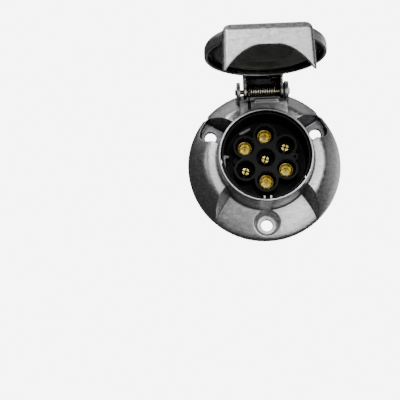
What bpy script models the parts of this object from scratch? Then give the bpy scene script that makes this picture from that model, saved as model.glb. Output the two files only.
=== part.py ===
"""Seven-pole trailer socket: die-cast housing, contact insert and sprung hinged lid.

The socket axis is the Y axis and the mouth faces -Y. The flange's back face lies in the plane y = 0 and
the hinge is at the top, +Z. Heights are measured forward from the back face: height h is y = -h.
The lid is modelled closed and then swung open about the hinge pin by LID_OPEN_DEG.
"""

import math

import bmesh
import bpy
from mathutils import Matrix, Vector

MM = 0.001

# Driving dimensions
FLANGE_RADIUS = 40.5 * MM
HOLE_SPACING = 56.0 * MM
HOLE_RADIUS = 3.0 * MM
BORE_RADIUS = 22.9 * MM
RIM_HEIGHT = 27.0 * MM
RIM_RADIUS = 24.05 * MM
CREST_HEIGHT = 17.6 * MM
POCKET_FLOOR = 3.0 * MM
CONTACT_CIRCLE = 12.0 * MM
PIN_HEIGHT = 19.5 * MM
PIN_Z = 35.4 * MM
LID_RADIUS = 29.3 * MM
LID_TOP = 32.3 * MM
LID_MOUTH = 25.6 * MM
LID_OPEN_DEG = 89.0
GAP = 0.3 * MM

# Worked out from the driving dimensions
HOLE_CIRCLE = HOLE_SPACING / math.sqrt(3.0)
HOLE_ANGLES = (30.0, 150.0, 270.0)
EAR_ANGLES = (90.0, 210.0, 330.0)
EAR_CIRCLE = 28.5 * MM
PIN_POINT = Vector((0.0, -PIN_HEIGHT, PIN_Z))
PAD_ANGLE = 270.0

FINE = 56
MEDIUM = 20
SMALL = 14
TINY = 10


# Small tools

def clear_scene():
    for item in list(bpy.data.objects):
        bpy.data.objects.remove(item)


def finish_material(name, colour, metallic, roughness):
    made = bpy.data.materials.new(name)
    made.use_nodes = True
    shader = made.node_tree.nodes["Principled BSDF"]
    shader.inputs["Base Color"].default_value = (*colour, 1.0)
    shader.inputs["Metallic"].default_value = metallic
    shader.inputs["Roughness"].default_value = roughness
    return made


def at(radius, angle_deg, height):
    """The point at a radius and an angle round the socket axis, at a height above the back face."""
    angle = math.radians(angle_deg)
    return Vector((radius * math.cos(angle), -height, radius * math.sin(angle)))


def spread(first, last, count):
    return [first + (last - first) * step / (count - 1) for step in range(count)]


def make_object(name, mesh_data, surface=None):
    bmesh.ops.recalc_face_normals(mesh_data, faces=mesh_data.faces)
    mesh = bpy.data.meshes.new(name)
    mesh_data.to_mesh(mesh)
    mesh_data.free()
    mesh.shade_smooth()
    mesh.set_sharp_from_angle(angle=math.radians(32.0))
    made = bpy.data.objects.new(name, mesh)
    bpy.context.scene.collection.objects.link(made)
    if surface is None:
        made.hide_render = True
        made.display_type = "WIRE"
    else:
        mesh.materials.append(surface)
    return made


def turned(name, profile, segments, surface=None):
    """A profile of (radius, height) points turned round the Y axis, with flat ends."""
    angles = [360.0 * step / segments for step in range(segments)]
    loops = [[at(radius, angle, height) for angle in angles] for radius, height in profile]
    return lofted(name, loops, surface)


def lofted(name, loops, surface=None):
    """Matching loops of points joined in order, with the first and the last capped."""
    data = bmesh.new()
    rings = [[data.verts.new(point) for point in loop] for loop in loops]
    count = len(rings[0])
    for ring, following in zip(rings, rings[1:]):
        for step in range(count):
            after = (step + 1) % count
            data.faces.new((ring[step], ring[after], following[after], following[step]))
    data.faces.new(rings[0])
    data.faces.new(rings[-1])
    return make_object(name, data, surface)


def prism_along_x(name, outline, low_x, high_x, surface=None):
    """An outline of (height, z) points between two x planes."""
    loops = [[Vector((x, -height, z)) for height, z in outline] for x in (low_x, high_x)]
    return lofted(name, loops, surface)


def prism_forward(name, outline, low, high, surface=None):
    """An outline of (x, z) points between two heights."""
    loops = [[Vector((x, -height, z)) for x, z in outline] for height in (low, high)]
    return lofted(name, loops, surface)


def block(name, x_span, height_span, z_span, surface=None):
    outline = [
        (x_span[0], z_span[0]),
        (x_span[1], z_span[0]),
        (x_span[1], z_span[1]),
        (x_span[0], z_span[1]),
    ]
    return prism_forward(name, outline, height_span[0], height_span[1], surface)


def rod(name, radius, low, high, segments, surface=None):
    return turned(name, [(radius, low), (radius, high)], segments, surface)


def along_x(piece):
    """Turns a piece made round the Y axis so that its forward end points to +X."""
    piece.data.transform(Matrix.Rotation(math.radians(90.0), 4, "Z"))
    return piece


def moved(piece, offset):
    piece.data.transform(Matrix.Translation(offset))
    return piece


def turned_by(piece, angle_deg):
    """Turns a piece round the socket axis, from +X towards +Z."""
    piece.data.transform(Matrix.Rotation(math.radians(-angle_deg), 4, "Y"))
    return piece


def arc_points(centre, radius, first_deg, last_deg, count):
    points = []
    for angle_deg in spread(first_deg, last_deg, count):
        angle = math.radians(angle_deg)
        points.append((centre[0] + radius * math.cos(angle), centre[1] + radius * math.sin(angle)))
    return points


def tube(name, path, radius, sides, surface):
    """A round wire along a path of points, with filled ends."""
    loops = []
    normal = None
    for index, point in enumerate(path):
        before = path[max(index - 1, 0)]
        after = path[min(index + 1, len(path) - 1)]
        direction = (after - before).normalized()
        if normal is None:
            normal = direction.orthogonal()
        normal = (normal - direction * normal.dot(direction)).normalized()
        side = direction.cross(normal)
        loop = []
        for step in range(sides):
            angle = math.tau * step / sides
            loop.append(point + (normal * math.cos(angle) + side * math.sin(angle)) * radius)
        loops.append(loop)
    return lofted(name, loops, surface)


def combine(target, other, operation):
    change = target.modifiers.new(other.name, "BOOLEAN")
    change.operation = operation
    change.object = other
    change.solver = "EXACT"


def cut(target, cutter):
    combine(target, cutter, "DIFFERENCE")


def join(target, addition):
    combine(target, addition, "UNION")


# Housing

BARREL_BASE_RADIUS = 24.95 * MM
BARREL_TOP_RADIUS = 24.6 * MM
BARREL_CLEAR_RADIUS = 25.1 * MM
RECESS_RADIUS = 5.3 * MM
EAR_SLOT_DEPTH = 5.0 * MM
BLOCK_HALF_WIDTH = 12.0 * MM
BLOCK_FRONT = 24.6 * MM
HINGE_EARS = ((-13.6 * MM, -11.6 * MM), (11.0 * MM, 13.3 * MM))
HINGE_EAR_RADIUS = 5.1 * MM
PIN_RADIUS = 1.25 * MM
GROOVE_X = -7.35 * MM
LEG_END = Vector((0.0, -3.85 * MM, -10.0 * MM))


def housing_blank(surface):
    """The dome, flange and barrel as one solid of revolution, before any pocket is cut."""
    profile = [
        (FLANGE_RADIUS, 0.0),
        (FLANGE_RADIUS, 2.8 * MM),
        (39.9 * MM, 4.8 * MM),
        (37.7 * MM, 8.9 * MM),
        (35.3 * MM, 12.3 * MM),
        (33.2 * MM, 14.9 * MM),
        (31.4 * MM, 16.6 * MM),
        (29.6 * MM, CREST_HEIGHT),
        (25.7 * MM, 18.2 * MM),
        (24.9 * MM, 18.8 * MM),
        (24.55 * MM, 20.0 * MM),
        (RIM_RADIUS, RIM_HEIGHT - 0.3 * MM),
        (RIM_RADIUS - 0.3 * MM, RIM_HEIGHT),
    ]
    return turned("housing", profile, FINE, surface)


def lower_pad_cutter():
    """The wide flat sector round the lower screw, with side walls that lean outward as they rise."""
    floor_half_angle = 46.0
    lean_deg_per_mm = 1.0
    floor_height = 8.0
    top = 32.0 * MM
    outside = 46.0 * MM
    profile = [
        (BARREL_BASE_RADIUS, 9.3 * MM),
        (25.4 * MM, 8.6 * MM),
        (30.0 * MM, 7.3 * MM),
        (36.0 * MM, 5.3 * MM),
        (39.4 * MM, 3.8 * MM),
        (40.2 * MM, 3.0 * MM),
        (FLANGE_RADIUS + 0.1 * MM, 2.0 * MM),
        (outside, 2.0 * MM),
        (outside, top),
        (BARREL_CLEAR_RADIUS, top),
        (BARREL_CLEAR_RADIUS, 22.0 * MM),
        (BARREL_TOP_RADIUS, 19.0 * MM),
    ]
    loops = []
    for side in spread(-1.0, 1.0, 23):
        loop = []
        for radius, height in profile:
            half = floor_half_angle + lean_deg_per_mm * (height / MM - floor_height)
            loop.append(at(radius, PAD_ANGLE + side * half, height))
        loops.append(loop)
    return lofted("lower_pad_cutter", loops)


def slot_point(side, along, across, height):
    """A point in the frame of an upper screw slot: along its radial line and across, towards the hinge."""
    angle = math.radians(30.0)
    x = along * math.cos(angle) - across * math.sin(angle)
    z = along * math.sin(angle) + across * math.cos(angle)
    return Vector((side * x, -height, z))


def upper_slot_cutter(side):
    """A slot from the barrel past an upper screw hole, open to the front; its upper wall leans back."""
    lower_edge = -4.4 * MM
    outer_radius = 38.2 * MM
    lean = 0.22
    levels = [
        (POCKET_FLOOR, BARREL_BASE_RADIUS),
        (11.0 * MM, 24.8 * MM),
        (19.0 * MM, BARREL_TOP_RADIUS),
        (22.0 * MM, BARREL_CLEAR_RADIUS),
        (30.0 * MM, BARREL_CLEAR_RADIUS),
    ]
    loops = []
    for height, inner_radius in levels:
        upper_edge = 6.0 * MM + lean * (height - POCKET_FLOOR)
        loop = []
        for across in spread(lower_edge, upper_edge, 7):
            loop.append(slot_point(side, math.sqrt(inner_radius**2 - across**2), across, height))
        for across in spread(upper_edge, 0.5 * MM, 5):
            loop.append(slot_point(side, math.sqrt(outer_radius**2 - across**2), across, height))
        loop.append(slot_point(side, 33.0 * MM, lower_edge, height))
        loops.append(loop)
    return lofted(f"upper_slot_cutter_{side:+d}", loops)


def screw_recess_cutter(angle_deg, upper_radius):
    profile = [
        (RECESS_RADIUS - 0.4 * MM, POCKET_FLOOR),
        (RECESS_RADIUS, 3.6 * MM),
        (upper_radius, 7.0 * MM),
        (upper_radius, 30.0 * MM),
    ]
    cutter = turned(f"recess_cutter_{angle_deg:.0f}", profile, MEDIUM)
    return moved(cutter, at(HOLE_CIRCLE, angle_deg, 0.0))


def hole_cutter(name, radius, circle, angle_deg, low, high):
    cutter = rod(name, radius, low, high, SMALL)
    return moved(cutter, at(circle, angle_deg, 0.0))


def cavity_cutter(name, profile, first_deg, last_deg):
    """A hollow in the back of the casting, between two angles."""
    count = max(3, round((last_deg - first_deg) / 6.0) + 1)
    loops = [[at(r, angle, h) for r, h in profile] for angle in spread(first_deg, last_deg, count)]
    return lofted(name, loops)


def cut_back_cavities(housing):
    dome_profile = [
        (26.2 * MM, -1.0 * MM),
        (26.2 * MM, 15.4 * MM),
        (29.2 * MM, 15.0 * MM),
        (31.1 * MM, 13.4 * MM),
        (35.7 * MM, 7.4 * MM),
        (37.6 * MM, 3.8 * MM),
        (37.6 * MM, -1.0 * MM),
    ]
    for first, last in ((57.0, 80.0), (100.0, 123.0), (165.5, 200.0), (340.0, 374.5)):
        cut(housing, cavity_cutter(f"dome_cavity_{first:.0f}", dome_profile, first, last))


def hinge_block():
    outline = [
        (12.0 * MM, 20.0 * MM),
        (BLOCK_FRONT, 20.0 * MM),
        (BLOCK_FRONT, 28.2 * MM),
        (24.2 * MM, 29.0 * MM),
        (23.2 * MM, 29.8 * MM),
        (12.0 * MM, 30.4 * MM),
    ]
    return prism_along_x("hinge_block", outline, -BLOCK_HALF_WIDTH, BLOCK_HALF_WIDTH)


def hinge_ear(low_x, high_x):
    """A round-topped cheek that runs down into the dome."""
    outline = arc_points((PIN_HEIGHT, PIN_Z), HINGE_EAR_RADIUS, -81.0, 104.0, 11)
    outline += [
        (6.5 * MM, 37.0 * MM),
        (5.0 * MM, 33.0 * MM),
        (12.0 * MM, 27.0 * MM),
        (14.5 * MM, 29.8 * MM),
    ]
    return prism_along_x("hinge_ear", outline, low_x, high_x)


def stop_bead():
    """The round ridge along the front edge of the hinge block."""
    outline = arc_points((24.2 * MM, 29.3 * MM), 1.1 * MM, 0.0, 324.0, 10)
    return prism_along_x("stop_bead", outline, -4.7 * MM, 7.5 * MM)


def key_rib(side):
    """One of the two ribs that guide the plug's key, at the bottom of the bore."""
    inner, outer = sorted((side * 1.0 * MM, side * 2.1 * MM))
    return block(f"key_rib_{side:+d}", (inner, outer), (11.5 * MM, 25.0 * MM), (-23.2 * MM, -20.7 * MM))


def pin_hole_cutter():
    cutter = along_x(rod("pin_hole_cutter", PIN_RADIUS + 0.2 * MM, -15.0 * MM, 15.0 * MM, SMALL))
    return moved(cutter, PIN_POINT)


def make_housing(surface):
    housing = housing_blank(surface)
    join(housing, hinge_block())
    for low_x, high_x in HINGE_EARS:
        join(housing, hinge_ear(low_x, high_x))
    join(housing, stop_bead())
    cut(housing, rod("bore_cutter", BORE_RADIUS, -1.0 * MM, 30.0 * MM, FINE))
    for side in (-1, 1):
        join(housing, key_rib(side))
    cut(housing, lower_pad_cutter())
    for side in (-1, 1):
        cut(housing, upper_slot_cutter(side))
        nick = rod(f"nick_cutter_{side:+d}", 1.7 * MM, -1.0 * MM, 30.0 * MM, 12)
        cut(housing, moved(nick, slot_point(side, 39.7 * MM, 7.7 * MM, 0.0)))
    for angle_deg in HOLE_ANGLES:
        upper_radius = 7.1 * MM if angle_deg == PAD_ANGLE else 5.6 * MM
        cut(housing, screw_recess_cutter(angle_deg, upper_radius))
        name = f"screw_hole_cutter_{angle_deg:.0f}"
        cut(housing, hole_cutter(name, HOLE_RADIUS, HOLE_CIRCLE, angle_deg, -1.0 * MM, 10.0 * MM))
    cut_back_cavities(housing)
    for angle_deg in EAR_ANGLES:
        slot = block("ear_slot_cutter", (20.0 * MM, 32.4 * MM), (-1.0 * MM, EAR_SLOT_DEPTH), (-4.2 * MM, 4.2 * MM))
        cut(housing, turned_by(slot, angle_deg))
        name = f"carrier_screw_hole_cutter_{angle_deg:.0f}"
        cut(housing, hole_cutter(name, 1.6 * MM, EAR_CIRCLE, angle_deg, 4.0 * MM, 12.5 * MM))
    cut(housing, pin_hole_cutter())
    groove_x = (GROOVE_X - 0.75 * MM, GROOVE_X + 0.75 * MM)
    cut(housing, block("leg_groove_cutter", groove_x, (22.6 * MM, 26.0 * MM), (24.4 * MM, 34.0 * MM)))
    anchor = along_x(rod("leg_anchor_cutter", 0.8 * MM, -9.5 * MM, GROOVE_X, TINY))
    cut(housing, moved(anchor, PIN_POINT + LEG_END))
    return housing


# Contact insert

CARRIER_RADIUS = BORE_RADIUS - 0.4 * MM
SKIRT_INNER = 20.5 * MM
LINER_INNER = 21.5 * MM
BASE_LOW = 7.5 * MM
BASE_HIGH = 10.0 * MM
ROSETTE_TOP = 20.3 * MM
TUBE_RADIUS = 6.05 * MM
WELL_RADIUS = 4.7 * MM
SLEEVE_HOLE_RADIUS = 4.15 * MM
PIN_HOLE_RADIUS = 2.7 * MM
RETAINER_SCREW_X = 14.6 * MM
RETAINER_BOSS_RADIUS = 2.1 * MM
CONTACTS = {
    "sleeve_contact_top": 90.0,
    "sleeve_contact_upper_left": 150.0,
    "sleeve_contact_lower_right": 330.0,
    "sleeve_contact_bottom": 270.0,
    "pin_contact_upper_right": 30.0,
    "pin_contact_lower_left": 210.0,
    "pin_contact_centre": None,
}


def contact_place(angle_deg):
    if angle_deg is None:
        return Vector((0.0, 0.0, 0.0))
    return at(CONTACT_CIRCLE, angle_deg, 0.0)


def far_side_of_circle(angle_deg, centre_deg, centre_radius, radius):
    """Where a ray from the axis leaves a circle, or 0 where it misses the circle."""
    offset = math.radians(angle_deg - centre_deg)
    miss = centre_radius * math.sin(offset)
    if math.cos(offset) <= 0.0 or abs(miss) > radius:
        return 0.0
    return centre_radius * math.cos(offset) + math.sqrt(radius**2 - miss**2)


def rosette_outline():
    """The outer line of the joined tubes, with the screw boss between the two on the right."""
    web_radius = 12.6 * MM
    points = []
    for step in range(72):
        angle_deg = 360.0 * step / 72
        reach = [web_radius]
        for centre_deg in range(30, 390, 60):
            reach.append(far_side_of_circle(angle_deg, centre_deg, CONTACT_CIRCLE, TUBE_RADIUS))
        reach.append(far_side_of_circle(angle_deg, 0.0, RETAINER_SCREW_X, RETAINER_BOSS_RADIUS))
        point = at(max(reach), angle_deg, 0.0)
        points.append((point.x, point.z))
    return points


def contact_well_cutter(name, centre):
    """The wide well round a contact and the narrower hole that its body fills."""
    hole_radius = PIN_HOLE_RADIUS if name.startswith("pin") else SLEEVE_HOLE_RADIUS
    profile = [
        (hole_radius, 5.0 * MM),
        (hole_radius, BASE_HIGH + GAP),
        (WELL_RADIUS, BASE_HIGH + GAP),
        (WELL_RADIUS, 24.0 * MM),
    ]
    return moved(turned(f"well_cutter_{name}", profile, 18), centre)


def carrier_body(surface):
    """The base plate with its skirt behind and the thin liner in front, all inside the barrel."""
    profile = [
        (SKIRT_INNER, BASE_LOW),
        (SKIRT_INNER, 0.8 * MM),
        (CARRIER_RADIUS, 0.8 * MM),
        (CARRIER_RADIUS, 25.5 * MM),
        (LINER_INNER, 25.5 * MM),
        (LINER_INNER, BASE_HIGH),
    ]
    return turned("contact_carrier", profile, 48, surface)


def guard_walls():
    """The small moulded corner against the liner, left of the tubes, and the short wall above it."""
    height = (9.5 * MM, 18.0 * MM)
    upright = block("guard_upright", (-21.9 * MM, -20.6 * MM), height, (-5.8 * MM, 2.4 * MM))
    ledge = block("guard_ledge", (-21.7 * MM, -18.6 * MM), height, (1.2 * MM, 2.4 * MM))
    wall = block("guard_wall", (17.6 * MM, 18.5 * MM), (9.5 * MM, 16.5 * MM), (-1.1 * MM, 5.3 * MM))
    return [upright, ledge, turned_by(wall, 117.0)]


def make_carrier(surface):
    carrier = carrier_body(surface)
    join(carrier, prism_forward("rosette", rosette_outline(), 9.0 * MM, ROSETTE_TOP))
    for wall in guard_walls():
        join(carrier, wall)
    for angle_deg in EAR_ANGLES:
        ear = block("carrier_ear", (21.0 * MM, 31.8 * MM), (2.4 * MM, 4.7 * MM), (-3.8 * MM, 3.8 * MM))
        join(carrier, turned_by(ear, angle_deg))
        name = f"carrier_ear_hole_{angle_deg:.0f}"
        cut(carrier, hole_cutter(name, 1.75 * MM, EAR_CIRCLE, angle_deg, 0.0, 6.0 * MM))
    for side in (-1, 1):
        boss = rod("retainer_boss", RETAINER_BOSS_RADIUS, 5.9 * MM, 14.5 * MM, SMALL)
        join(carrier, moved(boss, Vector((side * RETAINER_SCREW_X, 0.0, 0.0))))
        pilot = rod("retainer_pilot", 1.5 * MM, 5.0 * MM, 13.0 * MM, TINY)
        cut(carrier, moved(pilot, Vector((side * RETAINER_SCREW_X, 0.0, 0.0))))
    vent = rod("vent", 0.6 * MM, 12.0 * MM, 22.0 * MM, 8)
    cut(carrier, moved(vent, Vector((RETAINER_SCREW_X + 0.3 * MM, 0.0, 0.0))))
    for name, angle_deg in CONTACTS.items():
        cut(carrier, contact_well_cutter(name, contact_place(angle_deg)))
    key_gap = block("key_gap_cutter", (-3.4 * MM, 3.4 * MM), (11.0 * MM, 27.0 * MM), (-24.0 * MM, -20.2 * MM))
    cut(carrier, key_gap)
    return carrier


def make_retainer(surface):
    """The plate behind the collars of the contacts."""
    plate = rod("contact_retainer", SKIRT_INNER - 0.4 * MM, 3.4 * MM, 5.6 * MM, 36, surface)
    for name, angle_deg in CONTACTS.items():
        hole = rod(f"retainer_hole_{name}", 3.4 * MM, 2.0 * MM, 7.0 * MM, SMALL)
        cut(plate, moved(hole, contact_place(angle_deg)))
    for side in (-1, 1):
        hole = rod("retainer_screw_hole", 1.6 * MM, 2.0 * MM, 7.0 * MM, TINY)
        cut(plate, moved(hole, Vector((side * RETAINER_SCREW_X, 0.0, 0.0))))
    return plate


# Contacts

BODY_RADIUS = 3.95 * MM
COLLAR_RADIUS = 4.8 * MM
PIN_CONTACT_RADIUS = 2.5 * MM
TERMINAL_RADIUS = 3.0 * MM
TERMINAL_END = -9.0 * MM
TERMINAL_SCREW_HEIGHT = -4.5 * MM
WIRE_HOLE_RADIUS = 1.75 * MM
SLEEVE_MOUTH = 16.0 * MM
PIN_TIP = 15.9 * MM
PIN_SLOT_ANGLE = -17.0


def rear_profile():
    """The collar that the retainer traps and the terminal barrel with its hole for the wire."""
    return [
        (WIRE_HOLE_RADIUS, -1.0 * MM),
        (WIRE_HOLE_RADIUS, TERMINAL_END),
        (TERMINAL_RADIUS, TERMINAL_END),
        (TERMINAL_RADIUS, 5.9 * MM),
        (COLLAR_RADIUS, 5.9 * MM),
        (COLLAR_RADIUS, 7.2 * MM),
    ]


def sleeve_profile():
    return rear_profile() + [
        (BODY_RADIUS, 7.2 * MM),
        (BODY_RADIUS, SLEEVE_MOUTH - 0.5 * MM),
        (BODY_RADIUS - 0.4 * MM, SLEEVE_MOUTH),
        (3.2 * MM, SLEEVE_MOUTH),
        (2.6 * MM, SLEEVE_MOUTH - 1.3 * MM),
        (2.6 * MM, 8.0 * MM),
    ]


def pin_profile():
    return rear_profile() + [
        (PIN_CONTACT_RADIUS, 7.2 * MM),
        (PIN_CONTACT_RADIUS, PIN_TIP - 1.0 * MM),
        (1.7 * MM, PIN_TIP),
    ]


def terminal_direction(angle_deg):
    return 0.0 if angle_deg is None else angle_deg


def pin_slots(name):
    """The two crossing slots that let a pin spring, turned a little clockwise from upright."""
    span = (-6.0 * MM, 6.0 * MM)
    half = 0.4 * MM
    height = (PIN_TIP - 5.5 * MM, PIN_TIP + 1.0 * MM)
    slots = [
        block(f"{name}_slot", (-half, half), height, span),
        block(f"{name}_cross_slot", span, height, (-half, half)),
    ]
    return [turned_by(slot, PIN_SLOT_ANGLE) for slot in slots]


def make_contact(name, angle_deg, surface):
    is_pin = name.startswith("pin")
    profile = pin_profile() if is_pin else sleeve_profile()
    contact = turned(name, profile, SMALL, surface)
    centre = contact_place(angle_deg)
    contact.location = centre
    slots = pin_slots(name) if is_pin else []
    hole = along_x(rod(f"{name}_screw_hole", 1.6 * MM, 0.0, 5.0 * MM, 8))
    moved(hole, Vector((0.0, -TERMINAL_SCREW_HEIGHT, 0.0)))
    turned_by(hole, terminal_direction(angle_deg))
    for cutter in slots + [hole]:
        cutter.location = centre
        cut(contact, cutter)
    return contact


# Screws

def screw(name, shank_radius, length, head_radius, head_length, surface):
    """A slotted screw along +Y: the head behind, the shank's end forward at the given length."""
    profile = [
        (head_radius, -head_length),
        (head_radius, 0.0),
        (shank_radius, 0.0),
        (shank_radius, length),
    ]
    made = turned(name, profile, TINY, surface)
    slot_depth = 0.45 * head_length
    height = (-head_length - 1.0 * MM, -head_length + slot_depth)
    slot = block(f"{name}_slot", (-4.0 * MM, 4.0 * MM), height, (-0.35 * MM, 0.35 * MM))
    cut(made, slot)
    return made, slot


def make_rear_screws(surface):
    """The screws that hold the retainer to the insert, and the insert to the housing."""
    for number, side in enumerate((-1, 1), start=1):
        made, slot = screw(f"retainer_screw_{number}", 1.25 * MM, 7.0 * MM, 2.3 * MM, 1.4 * MM, surface)
        for piece in (made, slot):
            piece.location = Vector((side * RETAINER_SCREW_X, -3.1 * MM, 0.0))
    for number, angle_deg in enumerate(EAR_ANGLES, start=1):
        made, slot = screw(f"carrier_screw_{number}", 1.35 * MM, 9.0 * MM, 2.7 * MM, 1.5 * MM, surface)
        for piece in (made, slot):
            piece.location = at(EAR_CIRCLE, angle_deg, 2.1 * MM)


def make_terminal_screws(surface):
    """One clamping screw in the side of each terminal barrel, pointing at the wire."""
    aim = Matrix.Rotation(math.radians(-90.0), 4, "Z")
    for number, angle_deg in enumerate(CONTACTS.values(), start=1):
        direction = terminal_direction(angle_deg)
        place = contact_place(angle_deg) + at(3.4 * MM, direction, TERMINAL_SCREW_HEIGHT)
        turn = Matrix.Rotation(-math.radians(direction), 4, "Y")
        made, slot = screw(f"terminal_screw_{number}", 1.35 * MM, 2.4 * MM, 2.0 * MM, 1.5 * MM, surface)
        for piece in (made, slot):
            piece.matrix_world = Matrix.Translation(place) @ turn @ aim


# Hinge

SPRING_WIRE_RADIUS = 0.4 * MM
SPRING_COIL_RADIUS = 1.93 * MM
SPRING_LENGTH = 12.9 * MM
SPRING_TURNS = 11
LID_LUGS = ((-10.0 * MM, -8.4 * MM), (9.0 * MM, 10.6 * MM))
LUG_RADIUS = 3.9 * MM
FREE_LEG_X = 7.4 * MM
FREE_LEG_Z = 36.6 * MM


def make_hinge_pin(surface):
    """The pin through ears and lugs, with its ends spread to stay in."""
    left = HINGE_EARS[0][0] - GAP
    right = HINGE_EARS[1][1] + GAP
    profile = [
        (1.5 * MM, left - 0.5 * MM),
        (1.8 * MM, left),
        (PIN_RADIUS, left),
        (PIN_RADIUS, right),
        (1.8 * MM, right),
        (1.5 * MM, right + 0.5 * MM),
    ]
    pin = along_x(turned("hinge_pin", profile, SMALL, surface))
    pin.location = PIN_POINT
    return pin


def spring_path():
    """A leg hooked into the groove of the hinge block, the coil, and a leg that ends in the lid's boss."""
    steps_per_turn = 9
    steps = SPRING_TURNS * steps_per_turn + 1
    first_x = GROOVE_X + 0.35 * MM
    path = [
        Vector((-8.9 * MM, LEG_END.y, LEG_END.z)),
        Vector((GROOVE_X - 0.3 * MM, LEG_END.y, LEG_END.z)),
        Vector((GROOVE_X, LEG_END.y, LEG_END.z + 0.5 * MM)),
        Vector((GROOVE_X, LEG_END.y, -5.0 * MM)),
        Vector((GROOVE_X, -3.3 * MM, -2.8 * MM)),
    ]
    for step in range(steps + 1):
        angle = math.radians(180.0) - math.tau * step / steps_per_turn
        x = first_x + SPRING_LENGTH * step / steps
        path.append(Vector((x, SPRING_COIL_RADIUS * math.cos(angle), SPRING_COIL_RADIUS * math.sin(angle))))
    path.append(Vector((6.2 * MM, -1.8 * MM, 1.3 * MM)))
    path.append(Vector((FREE_LEG_X - 0.4 * MM, -0.7 * MM, 3.4 * MM)))
    path.append(Vector((FREE_LEG_X, 0.7 * MM, 5.4 * MM)))
    path.append(Vector((FREE_LEG_X, 1.07 * MM, 6.6 * MM)))
    path.append(Vector((FREE_LEG_X, 1.07 * MM, 8.4 * MM)))
    return path


def make_spring(surface):
    spring = tube("lid_spring", spring_path(), SPRING_WIRE_RADIUS, 5, surface)
    spring.location = PIN_POINT
    return spring


# Lid, modelled closed

CUP_INNER = 27.8 * MM
CUP_FLOOR = 29.4 * MM
HOOD_FRONT = -27.1 * MM
HOOD_WALL = 1.8 * MM
HOOD_DEPTH = 22.6 * MM
ARCH_DEPTH = 10.8 * MM
ARCH_DROP = 11.8 * MM
ARCH_FLAT = 3.5 * MM
ARCH_HALF_WIDTH = 20.0 * MM


def rounded_rectangle(half_width, low_z, high_z, corner):
    """An outline with its two lower corners rounded, given as (x, z) points."""
    points = arc_points((-half_width + corner, low_z + corner), corner, 180.0, 270.0, 4)
    points += arc_points((half_width - corner, low_z + corner), corner, 270.0, 360.0, 4)
    points += [(half_width, high_z), (-half_width, high_z)]
    return points


def lid_cup(surface):
    profile = [
        (26.2 * MM, LID_TOP),
        (28.1 * MM, 31.7 * MM),
        (29.1 * MM, 30.3 * MM),
        (LID_RADIUS, 29.2 * MM),
        (LID_RADIUS, LID_MOUTH + 0.3 * MM),
        (LID_RADIUS - 0.3 * MM, LID_MOUTH),
        (CUP_INNER, LID_MOUTH),
        (CUP_INNER, CUP_FLOOR),
    ]
    return turned("lid", profile, FINE, surface)


def lid_arm():
    """The neck and both lugs as one block, before the channel for the spring is cut."""
    outline = arc_points((PIN_HEIGHT, PIN_Z), LUG_RADIUS, 285.0, 120.0, 9)
    outline += [
        (19.0 * MM, 39.9 * MM),
        (25.0 * MM, 39.9 * MM),
        (29.9 * MM, 38.0 * MM),
        (31.8 * MM, 34.6 * MM),
        (LID_TOP - 0.1 * MM, 31.0 * MM),
        (LID_TOP - 0.1 * MM, 23.0 * MM),
        (LID_MOUTH + 0.1 * MM, 23.0 * MM),
        (LID_MOUTH + 0.1 * MM, 31.2 * MM),
    ]
    return prism_along_x("lid_arm", outline, LID_LUGS[0][0], LID_LUGS[1][1])


def lid_channel_cutter():
    """The room for the spring between the lugs, which leaves a wall behind it."""
    outline = [
        (14.0 * MM, 30.0 * MM),
        (29.4 * MM, 30.0 * MM),
        (29.4 * MM, 33.2 * MM),
        (28.6 * MM, 36.0 * MM),
        (27.0 * MM, 37.9 * MM),
        (24.5 * MM, 38.5 * MM),
        (14.0 * MM, 38.5 * MM),
    ]
    return prism_along_x("lid_channel_cutter", outline, LID_LUGS[0][1], LID_LUGS[1][0])


def spring_boss():
    """The small boss in the channel that takes the end of the spring's free leg."""
    return block("spring_boss", (4.8 * MM, 9.2 * MM), (26.2 * MM, 29.6 * MM), (34.0 * MM, 38.8 * MM))


def hood_shell():
    """The box at the free end of the lid, open towards the hinge and the flange."""
    levels = [
        (LID_TOP, 18.3 * MM, HOOD_FRONT + 2.4 * MM),
        (31.75 * MM, 19.3 * MM, HOOD_FRONT + 1.35 * MM),
        (31.1 * MM, 19.8 * MM, HOOD_FRONT + 0.95 * MM),
        (29.9 * MM, 20.25 * MM, HOOD_FRONT + 0.45 * MM),
        (28.4 * MM, 20.55 * MM, HOOD_FRONT),
        (LID_TOP - HOOD_DEPTH, 21.1 * MM, HOOD_FRONT),
    ]
    loops = []
    for height, half_width, front in levels:
        outline = rounded_rectangle(half_width, front, -18.0 * MM, 1.7 * MM)
        loops.append([Vector((x, -height, z)) for x, z in outline])
    return lofted("hood", loops)


def hood_inside_cutter():
    outline = rounded_rectangle(18.9 * MM, HOOD_FRONT + HOOD_WALL, -10.0 * MM, 1.0 * MM)
    return prism_forward("hood_inside_cutter", outline, 5.0 * MM, CUP_FLOOR + 0.4 * MM)


def arch_cutter():
    """The arch in the hood's front panel, which lets the lid rest round a plug's body."""
    crown = LID_TOP - ARCH_DEPTH
    outline = [(-ARCH_HALF_WIDTH, 5.0 * MM)]
    for x in spread(-ARCH_HALF_WIDTH, ARCH_HALF_WIDTH, 21):
        share = max(abs(x) - ARCH_FLAT, 0.0) / (ARCH_HALF_WIDTH - ARCH_FLAT)
        outline.append((x, crown - ARCH_DROP * share**2))
    outline.append((ARCH_HALF_WIDTH, 5.0 * MM))
    loops = [[Vector((x, -height, z)) for x, height in outline] for z in (-30.0 * MM, -24.0 * MM)]
    return lofted("arch_cutter", loops)


def hood_side_cutter():
    """Slopes the lower edges of the hood's side walls up towards the lid."""
    outline = [
        (5.0 * MM, -24.9 * MM),
        (11.0 * MM, -24.9 * MM),
        (23.0 * MM, -17.0 * MM),
        (5.0 * MM, -17.0 * MM),
    ]
    return prism_along_x("hood_side_cutter", outline, -25.0 * MM, 25.0 * MM)


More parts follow.
